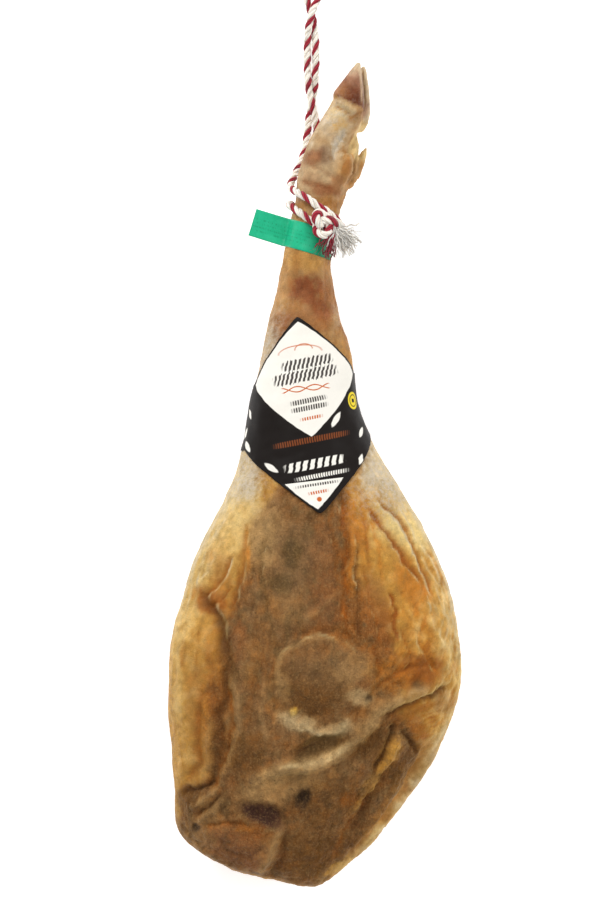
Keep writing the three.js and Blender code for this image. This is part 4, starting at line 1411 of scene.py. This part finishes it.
class Paint:
    """Colours washed over one another on the ham's points, and the noise that breaks them up."""

    def __init__(self, points, normals, places):
        self.broad = noise_field(points, 0.030, 11)
        self.patchy = noise_field(points, 0.012, 12)
        self.speckled = noise_field(points, 0.0045, 13, 3)
        self.streaked = noise_field(places.flow, 0.009, 14, 4, (1, 3.4, 1))
        self.places = places
        self.across = points[:, 0] * 1000
        self.along = points[:, 1] * 1000
        self.height = points[:, 2]
        self.facing = normals[:, 2]
        self.top = smooth_step(-0.15, 0.35, self.facing + 0.12 * self.broad)
        self.back = smooth_step(0.0, -0.5, self.facing)
        self.colour = np.tile(self.tint("skin"), (len(points), 1))

    def tint(self, name):
        return np.array(getattr(settings().colours, name), float)

    def wash(self, name, share):
        share = np.clip(share, 0, 1)[:, None]
        self.colour = self.colour * (1 - share) + self.tint(name) * share

    def fat_and_skin(self):
        x, fat, along = self.places.x, self.places.fat, self.along
        broad, patchy, streaked = self.broad, self.patchy, self.streaked
        self.wash("amber_fat", self.top * smooth_step(-40, 60, x))
        self.wash("rim_fat", self.top * smooth_step(40, -60, x))
        self.wash("shank", smooth_step(-20, 60, along) * (0.35 + 0.65 * self.top))
        stained = fat * smooth_step(0.0, 0.5, streaked + 0.4 * broad)
        self.wash("orange_fat", 0.5 * stained * smooth_step(-60, 60, x))
        rusty = fat * smooth_step(0.15, 0.6, streaked - 0.3 * broad)
        self.wash("rust", 0.35 * rusty * smooth_step(140, 40, along))
        mottle = 0.12 + 0.23 * smooth_step(-90, -40, x)
        pale = fat * smooth_step(0.0, 0.5, patchy - 0.5 * streaked)
        self.wash("pale_fat", mottle * pale * smooth_step(60, 0, along))

    def lean(self):
        meat = self.places.meat
        broad, patchy, streaked = self.broad, self.patchy, self.streaked
        self.wash("lean", meat * (0.94 + 0.1 * broad))
        self.wash("grey_lean", 0.5 * meat * smooth_step(0.0, 0.5, broad - 0.4 * patchy))
        self.wash("rust", 0.35 * meat * smooth_step(0.1, 0.6, patchy + 0.4 * streaked))
        self.wash("shadow_lean", 0.45 * meat * smooth_step(0.1, 0.6, streaked - 0.5 * patchy))
        self.wash("pale_lean", 0.35 * meat * smooth_step(0.2, 0.7, -self.speckled - 0.6 * patchy))
        sunk = self.places.valleys * self.top * smooth_step(250, 150, self.along)
        self.wash("rust", 0.60 * sunk * self.places.fat * self.places.wrinkled())
        self.wash("groove", 0.40 * sunk * meat)

    def marks(self):
        """The patches, and then the colours of the folds and ridges."""
        for name, middle, reach, turn, strength in PATCHES:
            share = self.places.mound(middle, reach, turn) * (1 + 0.4 * self.patchy + 0.4 * self.speckled)
            self.wash(name, strength * smooth_step(0.10, 0.72, share) * self.top)
        for line, width, _, name, strength in LINES:
            if name:
                share = line_mask(self.places.x, self.places.y, line, 0.9 * width)
                share = share * (1 + 0.4 * self.patchy + 0.3 * self.speckled)
                self.wash(name, strength * share * self.top)

    def horn(self):
        """The claws and the dewclaws' nails. Gives how much of each point is horn."""
        along, across, patchy = self.along, self.across, self.patchy
        reach = along + HORN_SLOPE * across
        near = smooth_step(0.0590, 0.0605, self.height)
        far = (1 - near) * smooth_step(338, 342, along)
        horn = near * smooth_step(HORN_LINE - 0.8, HORN_LINE + 0.8, reach)
        horn += far * smooth_step(HORN_LINE - 14, HORN_LINE - 11, reach)
        self.wash("horn_pale", horn)
        self.wash("horn", horn * near * smooth_step(397, 384, along + 4 * patchy))
        root = smooth_step(390, 364, along + 8 * patchy) * smooth_step(22, 36, across + 5 * self.broad)
        self.wash("horn_dark", horn * near * root)
        self.wash("rust", 0.5 * horn * near * self.places.mound((24, 372), (10, 6), -20))
        for name, line, width, strength in HORN_LINES:
            self.wash(name, strength * self.top * line_mask(across, along, line, width))
        nails = smooth_step(300, 309, along) * smooth_step(31, 35, self.places.x)
        nails *= smooth_step(346, 338, along) * smooth_step(0.070, 0.066, self.height)
        self.wash("nail", nails)
        return np.maximum(horn, nails)

    def edges(self):
        """A painted rim light of pale fat and white where the face turns over, rust underneath, and a little
        mould on fat and skin.
        """
        along = self.along
        # Painted rim light: pale fat, and white on the upper part of the face, laid where the face turns over
        # towards its edges.
        edge = smooth_step(0.80, 0.30, np.abs(self.facing)) * smooth_step(60, 0, along)
        edge *= 0.15 + 0.65 * smooth_step(-240, -130, along + 0.4 * self.places.x)
        self.wash("pale_fat", edge)
        self.wash("bloom", 0.8 * edge * smooth_step(-200, -120, along))
        self.wash("rust", 0.35 * self.back * smooth_step(0.0, 0.5, self.broad))
        self.wash("bloom", 0.10 * smooth_step(0.05, 0.5, self.patchy + 0.4 * self.broad) * self.places.fat)

    def finished(self):
        shade = 1 + 0.06 * self.broad + 0.07 * self.patchy + 0.09 * self.speckled
        colour = np.clip(self.colour * shade[:, None], 0, 1)
        return np.column_stack([linear(colour), np.ones(len(colour))])

    def mould(self):
        """How much dusty mould lies on each point."""
        share = 0.25 * self.back * smooth_step(0.1, 0.6, self.patchy)
        for name, middle, reach, turn, strength in PATCHES:
            if name == "bloom":
                share = np.maximum(share, strength * self.places.mound(middle, reach, turn) * self.top)
        return share


class MakeHam(bpy.types.Operator):
    """Mesh the ham finely, sculpt its face and lay its colours"""

    bl_idname = "cured_ham.make_ham"
    bl_label = "Ham"

    def execute(self, context):
        sizes = settings().sizes
        piece = self.remeshed(context, sizes.mesh_step)
        mesh = piece.data
        points = self.evened(mesh)
        set_coordinates(mesh, points)
        normals = vertex_normals(mesh)
        places = Places(points, normals)
        points = self.sculpted(points, normals, places, sizes)
        set_coordinates(mesh, points)
        self.lay_colours(mesh, Paint(points, vertex_normals(mesh), places))
        mesh.materials.clear()
        mesh.materials.append(meat_material())
        mesh.polygons.foreach_set("use_smooth", np.ones(len(mesh.polygons), bool))
        attach(piece, "ham")
        return {"FINISHED"}

    def remeshed(self, context, step):
        rough = bpy.data.objects.new("ham_rough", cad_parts["ham"].data.copy())
        context.scene.collection.objects.link(rough)
        remesh = rough.modifiers.new("even_faces", "REMESH")
        remesh.mode = "VOXEL"
        remesh.voxel_size = step
        graph = context.evaluated_depsgraph_get()
        mesh = bpy.data.meshes.new_from_object(rough.evaluated_get(graph))
        bpy.data.objects.remove(rough)
        piece = bpy.data.objects.new("ham_meat", mesh)
        context.scene.collection.objects.link(piece)
        return piece

    def evened(self, mesh):
        """Takes the flats of the frame off, and keeps the ham's size."""
        edges = edge_pairs(mesh)
        points = coordinates(mesh)
        normals = vertex_normals(mesh)
        thigh = smooth_step(0.285, 0.20, points[:, 1])
        soft = spread_points(points, edges, 3)
        soft = spread_points(soft, edges, 60, thigh)
        lost = np.einsum("ij,ij->i", points - soft, normals)
        lost = spread(lost, edges, 160) * (0.35 + 0.65 * thigh)
        return soft + normals * lost[:, None]

    def sculpted(self, points, normals, places, sizes):
        """Raises and cuts the face, and roughens the whole skin. Where the ham rests it stays flat."""
        along = points[:, 1]
        face = np.zeros(len(points))
        for line, width, height, _, _ in LINES:
            face += height * line_mask(places.x, places.y, line, width)
        for middle, reach, turn, height, flatness in MOUNDS:
            face += height * places.mound(middle, reach, turn, flatness)
        rise = sizes.relief * MM * face * smooth_step(0.1, 0.55, normals[:, 2])
        calm = 1 - 0.6 * smooth_step(0.24, 0.34, along)
        rise += sizes.lumps * noise_field(points, 0.036, 5, 3) * calm
        rise -= sizes.wrinkles * places.valleys * places.wrinkled() * calm
        rise += 0.0004 * noise_field(points, 0.006, 7, 3) * (0.5 + places.meat)
        rise += 0.0007 * noise_field(places.flow, 0.007, 8, 3, (1, 5, 1)) * calm
        fuller = 0.0010 + 0.0014 * smooth_step(0, 0.08, points[:, 0])
        fuller += 0.0012 * smooth_step(-0.29, -0.37, along)
        rise += fuller * smooth_step(0.65, 0.15, np.abs(normals[:, 2])) * smooth_step(0.10, 0.0, along)
        rise *= smooth_step(0.0015, 0.012, points[:, 2])
        raised = points + normals * rise[:, None]
        raised[:, 2] = np.maximum(raised[:, 2], 0)
        return raised

    def lay_colours(self, mesh, paint):
        paint.fat_and_skin()
        paint.lean()
        paint.marks()
        horn = paint.horn()
        paint.edges()
        add_attribute(mesh, "laid_colour", "FLOAT_COLOR", paint.finished())
        add_attribute(mesh, "meat", "FLOAT", paint.places.meat)
        add_attribute(mesh, "bloom_share", "FLOAT", paint.mould())
        add_attribute(mesh, "horn_share", "FLOAT", horn)


class MakeSleeve(bpy.types.Operator):
    """Wrap the printed card round the shank"""

    bl_idname = "cured_ham.make_sleeve"
    bl_label = "Card sleeve"

    ROWS_POINT = 36
    ROWS_BAND = 24
    FRONT = 56
    REST = 56
    OFF_SKIN = 0.0008
    ROUNDING = 0.002

    def execute(self, context):
        card = settings().sleeve
        skin = HamSkin()
        heights = np.concatenate(
            [
                np.linspace(-card.below, -card.band_bottom, self.ROWS_POINT, endpoint=False),
                np.linspace(-card.band_bottom, card.band_top, self.ROWS_BAND, endpoint=False),
                np.linspace(card.band_top, card.above, self.ROWS_POINT + 1),
            ]
        )
        points = []
        places = []
        rows = []
        for height in heights:
            outline, origin, right = skin.section(card.place, card.lean, height)
            ring, far = wrap(outline, self.OFF_SKIN)
            half = self.half_width(card, height)
            span = list(np.linspace(-half, half, self.FRONT + 1))
            band = -card.band_bottom - 1e-6 <= height <= card.band_top + 1e-6
            if band:
                span += list(np.linspace(half, far[-1] - half, self.REST + 1)[1:-1])
            row = []
            for reach in span:
                at = (-reach) % far[-1]
                across = np.interp(at, far, ring[:, 0])
                up = np.interp(at, far, ring[:, 1])
                row.append(len(points))
                points.append(origin + right * across + np.array((0, 0, up)))
                places.append((reach if reach <= far[-1] / 2 else reach - far[-1], height, 0))
            rows.append((row, band))
        faces = []
        for (low, low_band), (high, high_band) in zip(rows[:-1], rows[1:]):
            full = low_band and high_band
            columns = self.FRONT + self.REST if full else self.FRONT
            for i in range(columns):
                j = (i + 1) % len(low) if full else i + 1
                faces.append((low[i], low[j], high[j], high[i]))
        piece = new_piece("card_sleeve", points, faces, [card_material()], "label_sleeve")
        add_attribute(piece.data, "card_place", "FLOAT_VECTOR", places)
        thicken(context, piece, card.thickness)
        return {"FINISHED"}

    def half_width(self, card, height):
        """Half the card's front, measured round the shank: straight sides and rounded points."""
        if height > card.band_top:
            left, whole, half = card.above - height, card.above - card.band_top, card.upper_half
        elif height < -card.band_bottom:
            left, whole, half = card.below + height, card.below - card.band_bottom, card.lower_half
        else:
            share = (height + card.band_bottom) / (card.band_top + card.band_bottom)
            return card.lower_half + share * (card.upper_half - card.lower_half)
        left = max(0.0, left)
        rounding = 2 * self.ROUNDING
        share = math.sqrt((left**2 + rounding * left) / (whole**2 + rounding * whole))
        return max(0.0002, half * share)


def thicken(context, piece, thickness):
    """Gives a sheet its thickness, outwards, and keeps its attributes."""
    solidify = piece.modifiers.new("thickness", "SOLIDIFY")
    solidify.thickness = thickness
    solidify.offset = 1.0
    graph = context.evaluated_depsgraph_get()
    mesh = bpy.data.meshes.new_from_object(piece.evaluated_get(graph))
    piece.modifiers.clear()
    piece.data = mesh


class MakeTag(bpy.types.Operator):
    """Bend the green band round the shank and bring its ends together in a tab"""

    bl_idname = "cured_ham.make_tag"
    bl_label = "Tag band"

    ROWS = 19
    COLUMNS = 260
    OFF_SKIN = 0.0006
    # Where the two ends of the band meet, as a share of the tab's reach.
    NOSE = 0.38

    def execute(self, context):
        tag = settings().tag
        skin = HamSkin()
        heights = np.linspace(-tag.width / 2, tag.width / 2, self.ROWS)
        lines = []
        for height in heights:
            outline, origin, right = skin.section(tag.place, tag.lean, height)
            lines.append((self.bent(tag, wrap(outline, self.OFF_SKIN)[0]), origin, right))
        points = []
        places = []
        columns = len(lines[0][0])
        for (line, origin, right), height in zip(lines, heights):
            far = distances(line)
            for (across, up), at in zip(line, far):
                points.append(origin + right * across + np.array((0, 0, up)))
                places.append((at, height, 0))
        faces = []
        for i in range(self.ROWS - 1):
            for j in range(columns - 1):
                a = i * columns + j
                faces.append((a, a + 1, a + columns + 1, a + columns))
        piece = new_piece("tag_strip", points, faces, [tag_material()], "tag_band")
        add_attribute(piece.data, "tag_place", "FLOAT_VECTOR", places)
        thicken(context, piece, tag.thickness)
        return {"FINISHED"}

    def bent(self, tag, outline):
        """The band's line, from the tab's lower end round the outline to its upper end."""
        gap = 0.7 * tag.thickness
        nose = np.array(((-self.NOSE * tag.reach, tag.height),))
        loop = taut(np.vstack([outline, nose]))
        loop = np.roll(loop, -int(np.argmin(loop[:, 0])), 0)
        loop = np.vstack([loop, loop[:1]])
        loop[0, 1] -= gap
        loop[-1, 1] += gap
        line = np.vstack([(-tag.reach, tag.height - gap), loop, (-tag.reach, tag.height + gap)])
        line = even_steps(line, distances(line)[-1] / self.COLUMNS)
        for _ in range(12):
            line[1:-1] = 0.5 * line[1:-1] + 0.25 * (line[:-2] + line[2:])
        return line


class MakeLashing(bpy.types.Operator):
    """Wind the rope's turns round the shank and tie its knot"""

    bl_idname = "cured_ham.make_lashing"
    bl_label = "Lashing and knot"

    STEP = 0.0012
    OFF_SKIN = 0.0016
    KNOT_STEP = 0.0011
    # The knot's rope is fuller, because it isn't pulled as tight as the turns.
    KNOT_SWELL = 1.16
    KNOT_PLACE = (0.0105, 0.2405)
    KNOT_UNDER_TOP = 0.0085
    KNOT_SCALE = (0.0048, 0.0035, 0.0026)

    def execute(self, context):
        rope = settings().rope
        skin = HamSkin()
        points = []
        for angle in np.arange(math.pi, -1.70 * math.pi, -math.pi / 12):
            turned = (math.pi - angle) / (2 * math.pi)
            along = rope.turns_along - rope.turns_pitch * turned - rope.turns_lean * math.cos(angle)
            points.append(skin.round_shank(along, angle, rope.diameter / 2 + self.OFF_SKIN))
        parts = MeshParts()
        add_rope(parts, smooth_path(points, self.STEP), rope.diameter, rope.lay, phase=2.0, seed=1.0)
        add_rope(parts, self.knot_path(), rope.diameter * self.KNOT_SWELL, rope.lay, phase=0.4, seed=2.0)
        parts.piece("lashing_strands", rope_materials(), "rope_lashing", "cotton_rope")
        return {"FINISHED"}

    def knot_path(self):
        """An overhand knot, pulled tight and pressed against the shank."""
        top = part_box("rope_lashing")[1].z
        t = np.linspace(0.35, 2 * math.pi - 0.1, 60)
        x = np.sin(t) + 2 * np.sin(2 * t)
        y = np.cos(t) - 2 * np.cos(2 * t)
        z = -np.sin(3 * t)
        knot = np.column_stack([x, y, z]) * self.KNOT_SCALE
        turn = Matrix.Rotation(math.radians(-32), 3, "Z") @ Matrix.Rotation(math.radians(10), 3, "Y")
        centre = np.array((*self.KNOT_PLACE, top - self.KNOT_UNDER_TOP))
        return smooth_path(knot @ np.array(turn).T + centre, self.KNOT_STEP)


class MakeTassel(bpy.types.Operator):
    """Fray the rope's end into yarns and fibres"""

    bl_idname = "cured_ham.make_tassel"
    bl_label = "Tassel"

    ROOT = (0.0205, 0.2385, 0.0925)
    YARNS = 84
    YARN_RADIUS = 0.00105
    FIBRES = 60
    FIBRE_RADIUS = 0.00024
    FIBRE_REACH = 1.12
    SIDES = 5

    def execute(self, context):
        rng = np.random.default_rng(7)
        parts = MeshParts()
        for i in range(self.YARNS):
            self.add_yarn(parts, rng, i % 4 == 0, self.YARN_RADIUS)
        for i in range(self.FIBRES):
            self.add_yarn(parts, rng, i % 5 == 0, self.FIBRE_RADIUS, self.FIBRE_REACH)
        parts.piece("tassel_yarns", rope_materials(), "rope_tassel", "cotton_rope")
        return {"FINISHED"}

    def add_yarn(self, parts, rng, red, radius, reach=1.0):
        """One yarn that fans out, sways and droops. Its material is the red one or the white one."""
        if red:
            heading = rng.normal(-100, 13)
            length = reach * rng.uniform(0.016, 0.029)
        else:
            heading = rng.normal(-48, 24)
            length = reach * rng.uniform(0.017, 0.030)
        angle = math.radians(heading)
        start = np.array(self.ROOT) + rng.normal(0, 0.0016, 3)
        if red:
            start = start + np.array((-0.003, -0.002, 0.001))
        droop = rng.uniform(-0.010, 0.002)
        t = np.linspace(0, 1, 14)
        waves = rng.uniform(1.2, 3.2)
        phase = rng.uniform(0, 2 * math.pi)
        sway = 0.0012 * np.sin(waves * 2 * math.pi * t + phase) * t
        ahead = np.array((math.cos(angle), math.sin(angle), 0))
        side = np.array((-math.sin(angle), math.cos(angle), 0))
        curl = rng.normal(0, 0.004)
        path = start + np.outer(length * t, ahead) + np.outer(sway + curl * t * t, side)
        path[:, 2] += droop * t * t + 0.0022 * np.sin(math.pi * t) + 0.4 * sway[::-1]
        radii = radius * (1 - 0.45 * t)
        parts.add(tube(path, radii, self.SIDES), RED if red else WHITE, float(rng.uniform(0, 10)))


OPERATORS = (MakeStage, MakeHangingRope, MakeHam, MakeSleeve, MakeTag, MakeLashing, MakeTassel)


class HamPanel(bpy.types.Panel):
    """Lists the pieces in the sidebar"""

    bl_idname = "VIEW3D_PT_cured_ham"
    bl_label = "Cured ham"
    bl_space_type = "VIEW_3D"
    bl_region_type = "UI"
    bl_category = "Cured ham"

    def draw(self, context):
        for operator in OPERATORS:
            self.layout.operator(operator.bl_idname)


CLASSES = (HamColours, HamSizes, SleeveSettings, TagSettings, RopeSettings, HamSettings, *OPERATORS, HamPanel)


def register():
    for item in CLASSES:
        bpy.utils.register_class(item)
    bpy.types.Scene.cured_ham = bpy.props.PointerProperty(type=HamSettings)


def unregister():
    del bpy.types.Scene.cured_ham
    for item in reversed(CLASSES):
        bpy.utils.unregister_class(item)


def main():
    register()
    bpy.ops.cured_ham.make_stage()
    bpy.ops.cured_ham.make_hanging_rope()
    bpy.ops.cured_ham.make_ham()
    bpy.ops.cured_ham.make_sleeve()
    bpy.ops.cured_ham.make_tag()
    bpy.ops.cured_ham.make_lashing()
    bpy.ops.cured_ham.make_tassel()


if __name__ == "__main__":
    main()
